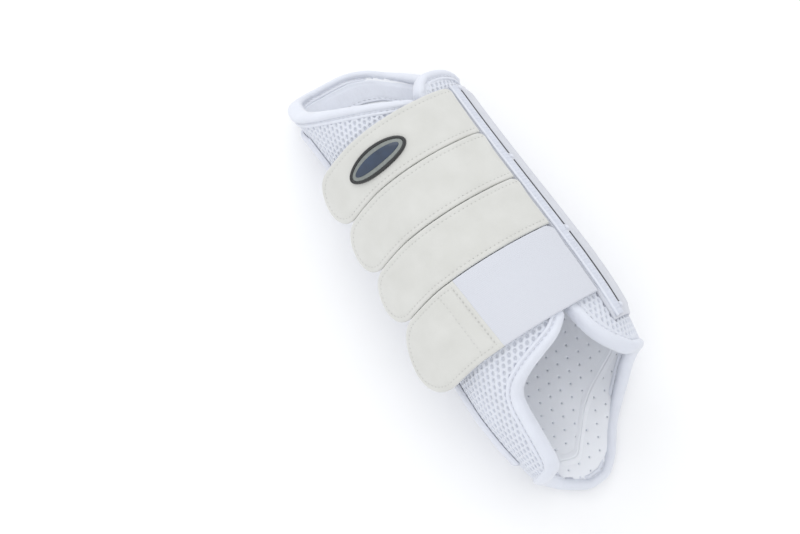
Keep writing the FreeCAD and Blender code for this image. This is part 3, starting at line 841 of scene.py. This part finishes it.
net_main, net_flap = mesh_cover()
on_body(net_main, "root", "spacer_mesh", "mesh_cover_tab_side", "mesh_cover_strike_side")
across_flex(net_flap, "spacer_mesh", "mesh_cover_flap")
lining_main, lining_flap = lining()
on_body(lining_main, "root", "perforated_lining", "liner_tab_side", "liner_strike_side")
across_flex(lining_flap, "perforated_lining", "liner_flap")


# ---------------------------------------------------------------- bindings

# Outer face of a binding's section: distance past the wall's edge, and height over the mesh.
BINDING_FACE = [(-7.2, -0.3), (-7.15, 0.3), (-6.8, 0.62), (-6.2, 0.72), (-5.6, 0.6), (-5.0, 0.22),
                (-4.5, 0.55), (-4.0, 1.15), (-3.2, 1.6), (-2.2, 1.65), (-1.2, 1.25), (-0.3, 0.35),
                (0.25, -0.8), (0.5, -2.2)]
STITCH_AT = -5.0
STITCH_LIFT = 0.5


def closed_profile(points, per=3):
    """Catmull-Rom curve through a closed row of points."""
    points = np.asarray(points, float)
    before, after = np.roll(points, 1, 0), np.roll(points, -1, 0)
    beyond = np.roll(points, -2, 0)
    rows = []
    for k in range(per):
        t = k / per
        rows.append(0.5 * (2 * points + (after - before) * t
                           + (2 * before - 5 * points + 4 * after - beyond) * t * t
                           + (3 * points - before - 3 * after + beyond) * t ** 3))
    return np.stack(rows, 1).reshape(-1, 2)


def girth_scale(x):
    return girth_factor(x) / float(girth_factor(np.array(0.0)))


def edge_path(gap, far):
    """Outline of one flap: along the knee rim, the closure edge and the fetlock rim."""
    angles = np.linspace(far, gap, 500)
    knee = np.stack([knee_rim(angles), arc_of(angles)], 1)
    fetlock = np.stack([fetlock_rim(angles), arc_of(angles)], 1)[::-1]
    line = np.concatenate([knee, fetlock])
    return rounded_line(line, 0.5, 9.0)


def rounded_line(line, step, window):
    """Even steps along a line of (x, arc), its corners rounded."""
    lengths = path_lengths(line)
    even = np.linspace(0, lengths[-1], 2 * int(lengths[-1] / step / 2) + 1)
    fine = at_lengths(even, lengths, line)
    half = int(window / step / 2)
    kernel = np.hanning(2 * half + 3)[1:-1]
    kernel /= kernel.sum()
    before = 2 * fine[0] - fine[1:half + 1][::-1]
    after = 2 * fine[-1] - fine[-half - 1:-1][::-1]
    padded_line = np.concatenate([before, fine, after])
    return np.stack([np.convolve(padded_line[:, k], kernel, "valid") for k in (0, 1)], 1)


def under_straps(x, angle):
    """1 where a strap lies over the wall, 0 clear of the straps."""
    turned = np.where(angle > 180, angle - 360, angle)
    along = smoothstep(x, -84, -79.5) * (1 - smoothstep(x, 64.0, 68.0))
    return along * smoothstep(turned, -56, -53) * (1 - smoothstep(turned, 60, 70))


def edge_binding(name, gap, far):
    """Rolled binding round the edge of one flap, and its stitches on both faces."""
    line = edge_path(gap, far)[::2]
    x, angle = line[:, 0], angle_of(line[:, 1])
    centres, across, up = path_frames(x, angle, 0.0)
    if across[0] @ np.array([-1.0, 0, 0]) < 0:
        across = -across
    face = np.array(BINDING_FACE)
    mirrored = face[::-1] * [1, -1] + [0, -WALL_THICK]
    profile = closed_profile(np.concatenate([face, mirrored]))
    covered = under_straps(x, angle)[:, None]
    length = np.arange(len(line))[:, None] * 1.0
    out = np.broadcast_to(profile[:, 0], (len(line), len(profile)))
    high = np.broadcast_to(profile[:, 1], out.shape)
    rise = np.where(high > 0, high * (1 - 0.72 * covered), high)
    unevenness = 0.16 * fine_noise(length, out * 0 + 3, 34.0) + 0.10 * fine_noise(length, out, 9.0)
    unevenness = unevenness * smoothstep(np.minimum(length, length[::-1]), 0, 15)
    gather = 0.06 * np.cos(2 * math.pi * length / STITCH_PITCH)
    puff = (groove(out, -2.2, 1.9, unevenness) + groove(out, -4.2, 0.9, gather)) * (1 - covered)
    shaped = np.where(high > -WALL_THICK / 2, rise + puff, high - puff)
    obj = sweep(name, centres, across, up, np.stack([out, shaped], -1), FINISH["binding"])
    seam = centres + across * STITCH_AT
    outer = seam + up * (STITCH_LIFT * (1 - 0.6 * covered))
    inner = seam - up * (WALL_THICK + STITCH_LIFT)
    threads = stitching(name + "_stitches", [thread_run(outer, up), thread_run(inner, -up)],
                        FINISH["white_thread"])
    return obj, threads


binding_main, binding_main_thread = edge_binding("edge_binding_tab_side", TAB_GAP, WALL_SPLIT)
on_body(binding_main, "root", "binding", "knee_binding_main", "fetlock_binding_main",
        "closure_binding_tab_side")
on_body(binding_main_thread, "root", "binding")
binding_flap, binding_flap_thread = edge_binding("edge_binding_rail_side", RAIL_GAP, WALL_SPLIT)
across_flex(binding_flap, "binding", "knee_binding_flap", "fetlock_binding_flap",
            "closure_binding_flap")
across_flex(binding_flap_thread, "binding")


# ---------------------------------------------------------------- straps

ROOT_CORNER = 7.0
TAB_RADIUS = 22.0
STITCH_INSET = 3.0
COVER_UNDER = 0.9


def strap_edges(number):
    """X of a strap's knee edge and fetlock edge, number 1 to 4."""
    knee = STRAP_LAST_X - LAST_STRAP - STRAP_PITCH * (4 - number)
    fetlock = STRAP_LAST_X if number == 4 else knee + STRAP_PITCH - STRAP_GAP
    return knee + 0.25, fetlock


def strap_lift(angle):
    """Height of a strap's inside over the mesh: the tab runs out straight."""
    return STRAP_CLEAR + TAB_FLARE * (np.maximum(angle - FLARE_START, 0) / FLARE_SPAN) ** 2


def tab_lean(angle):
    """How far the straps have leaned towards the fetlock."""
    return TAB_LEAN * (np.maximum(angle - LEAN_START, 0) / LEAN_SPAN) ** 1.5


def tab_end(number):
    return TAB_END + (LAST_TAB_EXTRA if number == 4 else 0.0)


def strap_point(x, angle, height):
    return wall(x, angle, -(strap_lift(angle) + height))


def corner_pull(distance, radius):
    """How far an edge pulls in at a rounded corner, by distance from the end."""
    u = np.clip(radius - distance, 0, radius)
    return radius - np.sqrt(np.maximum(radius * radius - u * u, 0))


def corner_distance(side, end, radius):
    """Distance from an outline with rounded corners, from the distances to its sides and ends."""
    corner = radius - np.hypot(np.maximum(radius - side, 0), np.maximum(radius - end, 0))
    return np.where((side < radius) & (end < radius), corner, np.minimum(side, end))


def strap_stations(first, last, middle, step):
    """Distances along a strap, close together at its ends, and their girth angles."""
    angles = np.linspace(first, last, 1200)
    lengths = path_lengths(strap_point(middle, angles, 1.5))
    near = np.array([0.0, 0.12, 0.3, 0.6, 1.0, 1.5])
    inner = np.linspace(near[-1], lengths[-1] - near[-1], max(4, int(lengths[-1] / step)))[1:-1]
    at = np.concatenate([near, inner, lengths[-1] - near[::-1]])
    return at, np.interp(at, lengths, angles)


def strap_slab(name, number, first, last, low, high, finish, margin=0.0, root_radius=0.3,
               tab_radius=0.3, slant_first=0.0, slant_last=0.0, relief=None, edge=1.1, step=1.1):
    """One layer of a strap as a closed slab with rounded edges.

    relief(x, angle, distance from the outline) adds to the height of the outside.
    """
    knee, fetlock = strap_edges(number)
    knee, fetlock = knee + margin, fetlock - margin
    middle, width = (knee + fetlock) / 2, fetlock - knee
    at, angles = strap_stations(first, last, middle, step)
    far = at[-1] - at
    across = edge_spread(int(width / step), edge, width)
    tab_pull = np.minimum(corner_pull(far, min(tab_radius, width / 2)), width / 2 - 0.5)
    knee_pull = tab_pull + corner_pull(at, root_radius)
    x = knee + knee_pull[:, None] + across[None] * (width - knee_pull - tab_pull)[:, None]
    share = (at / at[-1])[:, None]
    lean = (x - middle) / width
    angle = angles[:, None] + slant_first * lean * (1 - share) + slant_last * lean * share
    side = np.minimum(x - knee, fetlock - x)
    end = np.broadcast_to(far[:, None], x.shape)
    start = np.broadcast_to(at[:, None], x.shape)
    distance = np.maximum(np.minimum(corner_distance(side, end, min(tab_radius, width / 2)), start), 0)
    height = np.full(x.shape, float(high))
    if relief is not None:
        height = height + relief(x, angle, distance)
    height = height - np.minimum(edge, (height - low) * 0.6) * edge_drop(distance, edge)
    leaned = x + tab_lean(angle)
    return closed_slab(name, strap_point(leaned, angle, height), strap_point(leaned, angle, float(low)),
                       finish, np.stack([x, start], -1))


def proud(number, x):
    """A strap stands proud at its knee edge, over the strap before it."""
    knee = strap_edges(number)[0]
    return 1.15 * (1 - smoothstep(x, knee - 4, knee + 15))


# The last strap's elastic goes under its cover at a slant; rows are millimetres past that line.
COVER_SLANT = -6.0
ELASTIC_END = 29.0
CROSS_ROWS = (2.6, 11.0)
INNER_PART = 12.0


def elastic_boundary(x):
    """Arc at which the last strap's elastic goes under its cover."""
    knee, fetlock = strap_edges(4)
    return arc_of(ELASTIC_END + COVER_SLANT * (x - (knee + fetlock) / 2) / (fetlock - knee))


def cover_relief(number):
    def relief(x, angle, distance):
        s = arc_of(angle)
        height = proud(number, x) + 0.35 * (1 - np.exp(-distance / 4.0))
        height = height - groove(distance, STITCH_INSET, 0.6, 0.3)
        height = height + 0.16 * fine_noise(x, s, 30.0, number)
        if number == 4:
            for row in CROSS_ROWS:
                height = height - groove(s - elastic_boundary(x), row, 0.6, 0.28)
        return height
    return relief


def strap_top(number, x, angle):
    """Height of the outside of a cover away from its edges."""
    return STRAP_THICK + cover_relief(number)(x, angle, INNER_PART)


def elastic_relief(x, angle, distance):
    return (0.8 * proud(4, x) + 0.10 * fine_noise(x, arc_of(angle), 40.0, 9)
            - groove(distance, 2.2, 0.5, 0.12) - 0.25 + 0.1 * (1 - np.exp(-distance / 5.0)))


def outline_run(number, start_angle):
    """Points and outward directions of the stitch line round a strap cover."""
    knee, fetlock = strap_edges(number)
    middle, width = (knee + fetlock) / 2, fetlock - knee
    at, angles = strap_stations(start_angle, tab_end(number), middle, 1.0)
    near_tab = 24
    fine = np.concatenate([np.linspace(at[0] + 1.5, at[-1] - near_tab, 160),
                           at[-1] - near_tab + near_tab * (1 - np.linspace(1, 0, 200) ** 2)])
    fine = fine[at[-1] - fine >= STITCH_INSET]
    radius = min(TAB_RADIUS, width / 2)
    stitched = radius - STITCH_INSET
    into_corner = np.clip(radius - (at[-1] - fine), 0, stitched)
    pull = radius - np.sqrt(np.maximum(stitched ** 2 - into_corner ** 2, 0))
    pull = np.where(at[-1] - fine > radius, STITCH_INSET, pull)
    turn = np.interp(fine, at, angles)
    share = fine / at[-1]
    x = np.concatenate([knee + pull, (fetlock - pull)[::-1]])
    angle = np.concatenate([turn, turn[::-1]])
    if number == 4:
        angle = angle + COVER_SLANT * (x - middle) / width * (1 - np.concatenate([share, share[::-1]]))
    height = STRAP_THICK + cover_relief(number)(x, angle, STITCH_INSET)
    return strap_point(x + tab_lean(angle), angle, height), wall_normal(x, angle)


def cross_run(row):
    """Points and outward directions of a stitch line across the start of the last cover."""
    knee, fetlock = strap_edges(4)
    x = np.linspace(knee + STITCH_INSET + 0.5, fetlock - STITCH_INSET - 0.5, 80)
    angle = angle_of(elastic_boundary(x) + row)
    return strap_point(x, angle, strap_top(4, x, angle) - 0.05), wall_normal(x, angle)


def make_strap(number):
    """Elastic, cover, stitches and hook pad of one strap; the last shows its elastic bare."""
    body = "strap_%d" % number
    root = STRAP_ROOT
    if number == 4:
        elastic = strap_slab("elastic_strap_4", 4, root, ELASTIC_END + 1.0, 0.0, STRAP_THICK,
                             FINISH["elastic"], root_radius=ROOT_CORNER, slant_last=COVER_SLANT,
                             relief=elastic_relief, edge=0.9)
        on_body(elastic, body, "elastic", "elastic_4")
        start, start_radius, slant = ELASTIC_END, 0.3, COVER_SLANT
    else:
        elastic = strap_slab("elastic_backing_%d" % number, number, root, 20.0, 0.0, 0.86,
                             FINISH["elastic"], margin=1.5, edge=0.5, root_radius=4.0)
        on_body(elastic, body, "elastic", "elastic_%d" % number)
        start, start_radius, slant = root, ROOT_CORNER, 0.0
    cover = strap_slab("cover_%d" % number, number, start, tab_end(number), COVER_UNDER, STRAP_THICK,
                       FINISH["cover"], root_radius=start_radius, tab_radius=TAB_RADIUS,
                       slant_first=slant, relief=cover_relief(number), step=0.9)
    on_body(cover, body, "strap_cover", "strap_cover_%d" % number)
    lines = [outline_run(number, start)]
    if number == 4:
        lines += [cross_run(row) for row in CROSS_ROWS]
    runs = [thread_run(*line, length=1.15, pitch=2.6, thick=0.42) for line in lines]
    threads = stitching("cover_%d_stitches" % number, runs, FINISH["cream_thread"])
    on_body(threads, body, "strap_cover")
    pad = strap_slab("hook_%d" % number, number, 40.0, 74.0, 0.0, 0.86, FINISH["hook"], margin=4.0,
                     tab_radius=11.0, edge=0.4, root_radius=2.0)
    on_body(pad, body, "hook_tape", "hook_pad_%d" % number)


for strap_number in (1, 2, 3, 4):
    make_strap(strap_number)


# ---------------------------------------------------------------- badge

BADGE_X, BADGE_ANGLE, BADGE_LONG, BADGE_WIDE, BADGE_RIM = -60.9, 32.5, 18.8, 7.7, 1.7
BADGE_ARC = float(arc_of(BADGE_ANGLE))


def badge_point(x, s, height):
    """Point over the first strap, x and s from the middle of the badge."""
    at_x = BADGE_X + x
    angle = angle_of(BADGE_ARC + s / float(girth_scale(BADGE_X)) / 1.05)
    base = strap_top(1, np.full_like(at_x, BADGE_X), np.full_like(at_x, BADGE_ANGLE))
    slope = strap_top(1, at_x, angle)
    return strap_point(at_x, angle, 0.35 * slope + 0.65 * base + height)


def oval_plate(name, inset, height, drop, finish, crown=0.0):
    """Domed oval plate with a rounded edge."""
    rings = np.concatenate([np.linspace(0.04, 0.9, 12), [0.95, 0.975, 0.99, 1.0]])
    turns = np.linspace(0, 2 * math.pi, 96, endpoint=False)
    wide, long = BADGE_WIDE - inset, BADGE_LONG - inset
    points = []
    for ring in rings:
        edge = 1 - math.sqrt(max(0.0, 1 - max(0.0, (ring - 0.95) / 0.05) ** 2))
        points.append(badge_point(wide * ring * np.cos(turns), long * ring * np.sin(turns),
                                  height + crown * (1 - ring ** 2) - 0.2 * edge))
    points.append(badge_point(wide * np.cos(turns), long * np.sin(turns), height - drop))
    faces = tube_faces(len(points), len(turns))
    points = np.array(points).reshape(-1, 3)
    return new_object(name, points, faces, finish, points[:, :2])


def oval_rim():
    """Rounded rim of the badge, its section carried round the oval."""
    turns = np.linspace(0, 2 * math.pi, 160, endpoint=False)
    profile = [(-0.95, -0.3), (-0.95, 0.9), (-0.7, 1.35), (-0.2, 1.6), (0.3, 1.55), (0.75, 1.15),
               (0.95, 0.5), (0.95, -0.3)]
    rows = []
    for offset, height in closed_profile(profile, 2):
        wide, long = BADGE_WIDE - BADGE_RIM / 2 + offset, BADGE_LONG - BADGE_RIM / 2 + offset
        rows.append(badge_point(wide * np.cos(turns), long * np.sin(turns), height))
    points = np.array(rows)
    index = np.arange(len(rows) * len(turns)).reshape(len(rows), len(turns))
    index = np.concatenate([index, index[:1]], 0)
    index = np.concatenate([index, index[:, :1]], 1)
    faces = np.stack([index[:-1, :-1], index[:-1, 1:], index[1:, 1:], index[1:, :-1]], -1).reshape(-1, 4)
    return new_object("badge_oval_rim", points.reshape(-1, 3), faces.tolist(), FINISH["rim"])


on_body(oval_rim(), "strap_1", "badge_rim", "badge_rim")
on_body(oval_plate("badge_oval_plate", BADGE_RIM - 0.2, 0.85, 1.0, FINISH["plate"]), "strap_1",
        "badge_plate", "badge_plate")
on_body(oval_plate("badge_oval_inlay", BADGE_RIM + 2.3, 1.15, 0.4, FINISH["inlay"], 0.15), "strap_1",
        "badge_inlay", "badge_inlay")


# ---------------------------------------------------------------- moulded shell

def stations(first, last, step, edge=(0.0, 0.15, 0.4, 0.8, 1.3)):
    """Even stations with closer ones at both ends."""
    near = np.array(edge)
    inner = np.linspace(first + near[-1], last - near[-1],
                        max(3, int((last - first - 2 * near[-1]) / step) + 1))[1:-1]
    return np.concatenate([first + near, inner, last - near[::-1]])


# The shell's relief: (distance, half width, height) of its raised border and of its long ribs.
BORDER_RIDGES = (2.2, 1.1, 0.55), (5.6, 0.9, 0.4), (3.95, 0.5, -0.35)
RIB_ARCS = 27.0, 30.5, 50.0, 53.5, 72.0
SHELL_CORNER, SHELL_ROUND = 9.0, 1.3
# Pairs of slanting vents, their middles along X and their half length.
VENT_ANGLE, VENT_HALF, VENT_SLANT = 128.0, 5.4, (0.45, 0.893)
VENT_PLACES = [middle + shift for middle in (-60.0, -30.0, 0.0, 30.0, 60.0) for shift in (-2.5, 2.5)]
# The flat panel that the boot lies on: half width, half length, and how far round it reaches.
REST_WIDE, REST_LONG, REST_ARC = 19.0, 95.0, 26


def shell_surface():
    """Strike shell: raised border, ribs, vents and the flat panel under the keel."""
    low, high = float(arc_of(SHELL_EDGE)), float(arc_of(SHELL_FAR))
    s = stations(low, high, 0.85)[:, None]
    angle = angle_of(s)
    first, last = knee_rim(angle) + SHELL_FROM_KNEE, fetlock_rim(angle) - SHELL_FROM_FETLOCK
    share = stations(0.0, 250.0, 0.95)[None] / 250.0
    x = first + share * (last - first)
    s = np.broadcast_to(s, x.shape)
    angle = np.broadcast_to(angle, x.shape)
    slope_low = np.gradient(first[:, 0], s[:, 0])[:, None]
    slope_high = np.gradient(last[:, 0], s[:, 0])[:, None]
    sides = np.minimum(s - low, high - s)
    ends = np.minimum((x - first) / np.hypot(1, slope_low), (last - x) / np.hypot(1, slope_high))
    inner_edge = corner_distance(sides, ends, SHELL_CORNER)
    keel = float(arc_of(KEEL_ANGLE))
    side = np.abs(s - keel)
    height = sum(ridge(inner_edge, *border) for border in BORDER_RIDGES)
    inside = smoothstep(inner_edge, 9.0, 11.0)
    for at in RIB_ARCS:
        height = height + inside * ridge(side, at, 0.75, 0.45)
    bow = 40.0 + 10.0 * (x / 110.0) ** 2
    height = height + inside * ridge(side, bow, 0.6, 0.3) * (s > keel)
    along, across = VENT_SLANT
    for place in VENT_PLACES:
        dx, ds = x - place, s - float(arc_of(VENT_ANGLE))
        body = np.hypot(np.maximum(np.abs(dx * along + ds * across) - VENT_HALF, 0),
                        dx * across - ds * along)
        height = height + groove(body, 1.9, 0.6, 0.45)
        height = height - 1.7 * (1 - smoothstep(body, 0.75, 1.35))
    panel = (smoothstep(REST_WIDE - np.abs(wall(x, angle, -SHELL_OUT)[..., 1]), -0.1, 1.0)
             * smoothstep(REST_LONG - np.abs(x), -0.1, 1.0) * (side < REST_ARC))
    height = height * (1 - panel) + (BASE_LIFT - SHELL_OUT) * panel
    soft = SHELL_ROUND * edge_drop(np.minimum(sides, ends), SHELL_ROUND)
    top = wall(x, angle, -(SHELL_OUT + height - soft))
    top[..., 2] = np.maximum(top[..., 2], 0.0)
    bottom = wall(x, angle, -SHELL_IN)
    return closed_slab("strike_shell", top, bottom, FINISH["shell"], np.stack([x, s], -1))


on_body(shell_surface(), "root", "moulded_shell", "outer_shell")


# ---------------------------------------------------------------- rail beside the straps

SLOT_MIDDLES = [-52.0, -1.4, 49.2]
SLOT_HALF = 22.2
SLOT_ARC = float(arc_of(297.3))
SLOT_DEPTH = 2.9
RAIL_LOW, RAIL_HIGH = float(arc_of(RAIL_NEAR)), float(arc_of(RAIL_EDGE))
WEBBING_ANGLE, WEBBING_HALF, WEBBING_LONG = 303.5, 3.0, 78.6
PIPING_ANGLE, PIPING_RADIUS, PIPING_HALF = 307.0, 0.85, 79.0
KNOB_RADIUS, KNOB_HEIGHT, KNOB_PAST = 1.5, 1.2, 2.6


def slot_distance(x, s):
    """Distance from the nearest slot's middle line."""
    return np.minimum.reduce([np.hypot(np.maximum(np.abs(x - m) - SLOT_HALF, 0), s - SLOT_ARC)
                              for m in SLOT_MIDDLES])


def rail_surface():
    """Rail with three slots, each down to a floor coloured dark grey as painted shade, and a ribbed bar
    on the straps' side.
    """
    cut = np.array([-1.1, -0.75, -0.5, 0.5, 0.75, 1.1])
    s = stations(RAIL_LOW, RAIL_HIGH, 0.8)
    s = np.sort(np.concatenate([s[np.abs(s - SLOT_ARC) > 1.6], SLOT_ARC + cut]))[:, None]
    x = stations(-RAIL_HALF, RAIL_HALF, 0.9)[None]
    x, s = np.broadcast_arrays(x, s)
    angle = angle_of(s)
    slot = slot_distance(x, s)
    edge = np.minimum.reduce([x + RAIL_HALF, RAIL_HALF - x, s - RAIL_LOW + 0.4, RAIL_HIGH - s])
    from_straps = RAIL_HIGH - s
    height = ridge(from_straps, 13.5, 2.4, 0.55) * (1 + 0.35 * np.cos(2 * math.pi * x / 1.7))
    height = height + groove(slot, 1.9, 0.55, 0.35)
    for at in (22.0, 24.5):
        height = height + ridge(from_straps, at, 0.7, 0.4) * smoothstep(edge, 3, 6)
    pit = 1 - smoothstep(slot, 0.5, 0.75)
    soft = 1.1 * edge_drop(edge, 1.1) + 0.9 * (1 - smoothstep(RAIL_HALF - np.abs(x), 0, 7))
    top = -(SHELL_OUT + height - soft)
    top = top * (1 - pit) + SLOT_DEPTH * pit
    bottom = -SHELL_IN + 3.8 * (1 - smoothstep(slot, 1.4, 2.2))
    rail = closed_slab("slotted_rail", wall(x, angle, top), wall(x, angle, bottom), FINISH["slotted"],
                       np.stack([x, s], -1))
    # The faces down in the slots take the dark grey material: painted shade.
    rail.data.materials.append(FINISH["painted_slot_shade"])
    deep = pit.reshape(-1) > 0.5
    corners = np.array([polygon.vertices[:] for polygon in rail.data.polygons])
    upper = (corners < deep.size).all(1)
    painted_shade_faces = deep[np.minimum(corners, deep.size - 1)].any(1) & upper
    rail.data.polygons.foreach_set("material_index", painted_shade_faces.astype(np.int32))
    return rail


def rail_piping():
    """Piping between the rail and the straps."""
    x = np.linspace(-PIPING_HALF, PIPING_HALF, 200)
    centres, across, up = path_frames(x, np.full(len(x), PIPING_ANGLE), -(SHELL_OUT + 0.25))
    turns = np.linspace(0, 2 * math.pi, 16, endpoint=False)
    profile = PIPING_RADIUS * np.stack([np.cos(turns), np.sin(turns)], 1)
    return sweep("rail_piping", centres, across, up, profile, FINISH["binding"])


def rail_webbing():
    """Strip of ribbed webbing along the rail."""
    middle = float(arc_of(WEBBING_ANGLE))
    s = stations(middle - WEBBING_HALF, middle + WEBBING_HALF, 0.5, (0.0, 0.12, 0.35))[:, None]
    x = stations(-WEBBING_LONG, WEBBING_LONG, 0.55, (0.0, 0.15, 0.4))[None]
    x, s = np.broadcast_arrays(x, s)
    edge = np.minimum(WEBBING_HALF - np.abs(s - middle), WEBBING_LONG - np.abs(x))
    height = 0.75 + 0.16 * np.cos(2 * math.pi * x / 2.2) * smoothstep(edge, 0.3, 0.8)
    height = height - groove(np.abs(s - middle), 2.2, 0.3, 0.14) - 0.5 * edge_drop(edge, 0.5)
    angle = angle_of(s)
    return closed_slab("webbing_strip", wall(x, angle, -(SHELL_OUT + height)),
                       wall(x, angle, -SHELL_OUT - 0.02), FINISH["webbing"], np.stack([x, s], -1))


def knob(x, angle):
    """Points and faces of a low round knob with a rolled edge."""
    centre, up = wall(x, angle, -SHELL_OUT), wall_normal(x, angle)
    outline = [(0.05, 1.0), (0.35, 0.97), (0.62, 0.86), (0.82, 0.66), (0.95, 0.38), (1.0, 0.1),
               (1.0, -0.25)]
    turns = np.linspace(0, 2 * math.pi, 24, endpoint=False)
    side = unit(np.cross(up, [1.0, 0, 0]))
    ahead = np.cross(side, up)
    points = [centre + KNOB_RADIUS * r * (math.cos(t) * ahead + math.sin(t) * side)
              + up * KNOB_HEIGHT * z for r, z in outline for t in turns]
    return np.array(points), tube_faces(len(outline), len(turns))


def rail_knobs():
    """Knobs between the slots and past the outer ones."""
    past = SLOT_HALF + KNOB_PAST
    places = [SLOT_MIDDLES[0] - past]
    places += [(a + b) / 2 for a, b in zip(SLOT_MIDDLES[:-1], SLOT_MIDDLES[1:])]
    places.append(SLOT_MIDDLES[-1] + past)
    angle = float(angle_of(SLOT_ARC))
    return stitching("rail_knobs", [knob(x, angle) for x in places], FINISH["rail"])


on_body(rail_surface(), "flap", "moulded_shell", "strap_rail")
on_body(rail_webbing(), "flap", "webbing", "rail_webbing")
on_body(rail_knobs(), "flap", "moulded_shell")
on_body(rail_piping(), "flap", "binding")


# ---------------------------------------------------------------- linings, tapes and pads

# A piece that starts deeper than this shows on the inside of the wall.
INNER_SIDE = 4.0


def wall_slab(name, turn_first, turn_last, x_first, x_last, outer, inner, finish, step, relief,
              edge=0.5):
    """Thin closed piece on the wall between two girth angles.

    The x limits are functions of the girth angle, outer and inner are depths, and
    relief(x, s, distance from the outline) adds to the height of the side that shows.
    """
    s_first, s_last = float(arc_of(turn_first)), float(arc_of(turn_last))
    s = stations(s_first, s_last, step, (0.0, 0.15, 0.4))[:, None]
    angle = angle_of(s)
    first, last = x_first(angle), x_last(angle)
    length = float(np.mean(last - first))
    share = stations(0.0, length, step, (0.0, 0.15, 0.4))[None] / length
    x = first + share * (last - first)
    s = np.broadcast_to(s, x.shape)
    angle = np.broadcast_to(angle, x.shape)
    distance = np.minimum.reduce([x - first, last - x, s - s_first, s_last - s])
    soft = abs(inner - outer) * 0.6 * edge_drop(distance, edge)
    sign = 1.0 if outer < INNER_SIDE else -1.0
    near, away = (outer, inner) if sign > 0 else (inner, outer)
    top = wall(x, angle, near - sign * relief(x, s, distance) + sign * soft)
    return closed_slab(name, top, wall(x, angle, away), finish, np.stack([x, s], -1))


seam_line = smooth_curve([(150, 126), (165, 129), (180, 121), (200, 108), (225, 96), (258, 86)])


def seam_relief(x, s, distance):
    middle = x - seam_line(angle_of(s))
    return groove(middle, 0, 2.0, 0.38) - groove(middle, 0, 0.34, 0.55)


def hem_relief(x, s, distance):
    under_binding = 1 - smoothstep(from_rims(x, angle_of(s))[0], 6.8, 7.6)
    shape = 0.15 + 0.1 * fine_noise(x, s, 22.0) - groove(distance, 2.2, 0.5, 0.25)
    return shape * (1 - under_binding) - 0.46 * under_binding


seam = wall_slab("lining_seam", 152.0, 258.0, lambda a: seam_line(a) - 3.5,
                 lambda a: seam_line(a) + 3.5, 6.3, 6.58, FINISH["lining"], 0.35, seam_relief, 1.2)
on_body(seam, "root", "seam_tape", "liner_seam_tape")
hem = wall_slab("hem_facing", 90.0, 240.0, lambda a: knee_rim(a) + 7.2,
                lambda a: knee_rim(a) + 23.0, 6.55, 7.05, FINISH["binding"], 0.9, hem_relief)
on_body(hem, "root", "perforated_lining", "knee_hem_facing")
hem_angles = np.linspace(92.0, 238.0, 400)
hem_x, hem_depth = knee_rim(hem_angles) + 20.8, np.full(400, 7.0)
hem_thread = thread_run(wall(hem_x, hem_angles, hem_depth), -wall_normal(hem_x, hem_angles))
on_body(stitching("hem_stitches", [hem_thread], FINISH["white_thread"]), "root", "perforated_lining")
landing_last = STRAP_LAST_X - 3
landing_first = landing_last - LAST_STRAP - 3 * STRAP_PITCH + 6
landing = wall_slab("loop_patch", 32.0, 70.0, lambda a: landing_first + 0 * a,
                    lambda a: landing_last + 0 * a, -0.5, -0.03, FINISH["loop"], 1.4,
                    lambda x, s, d: 0.06 * fine_noise(x, s, 3.0), 0.4)
on_body(landing, "root", "loop_pile", "loop_landing")


def foam_piece(name, first, last):
    """Foam core of the wall, a soft slab with rounded borders."""
    piece = wall_slab(name, first, last, lambda a: knee_rim(a) + 8.0,
                      lambda a: fetlock_rim(a) - 8.0, 1.95, 3.85, FINISH["foam"], 2.0,
                      lambda x, s, d: -0.12 + 0.1 * fine_noise(x, s, 26.0), 1.0)
    return piece


on_body(foam_piece("foam_tab_side", TAB_GAP + 9.0, 123.8), "root", "foam",
        "foam_core_tab_side")
on_body(foam_piece("foam_strike_pad", 124.2, 261.8), "root", "foam", "strike_pad")
on_body(foam_piece("foam_rail_side", 263.2, RAIL_GAP - 9.0), "flap", "foam",
        "foam_core_flap")
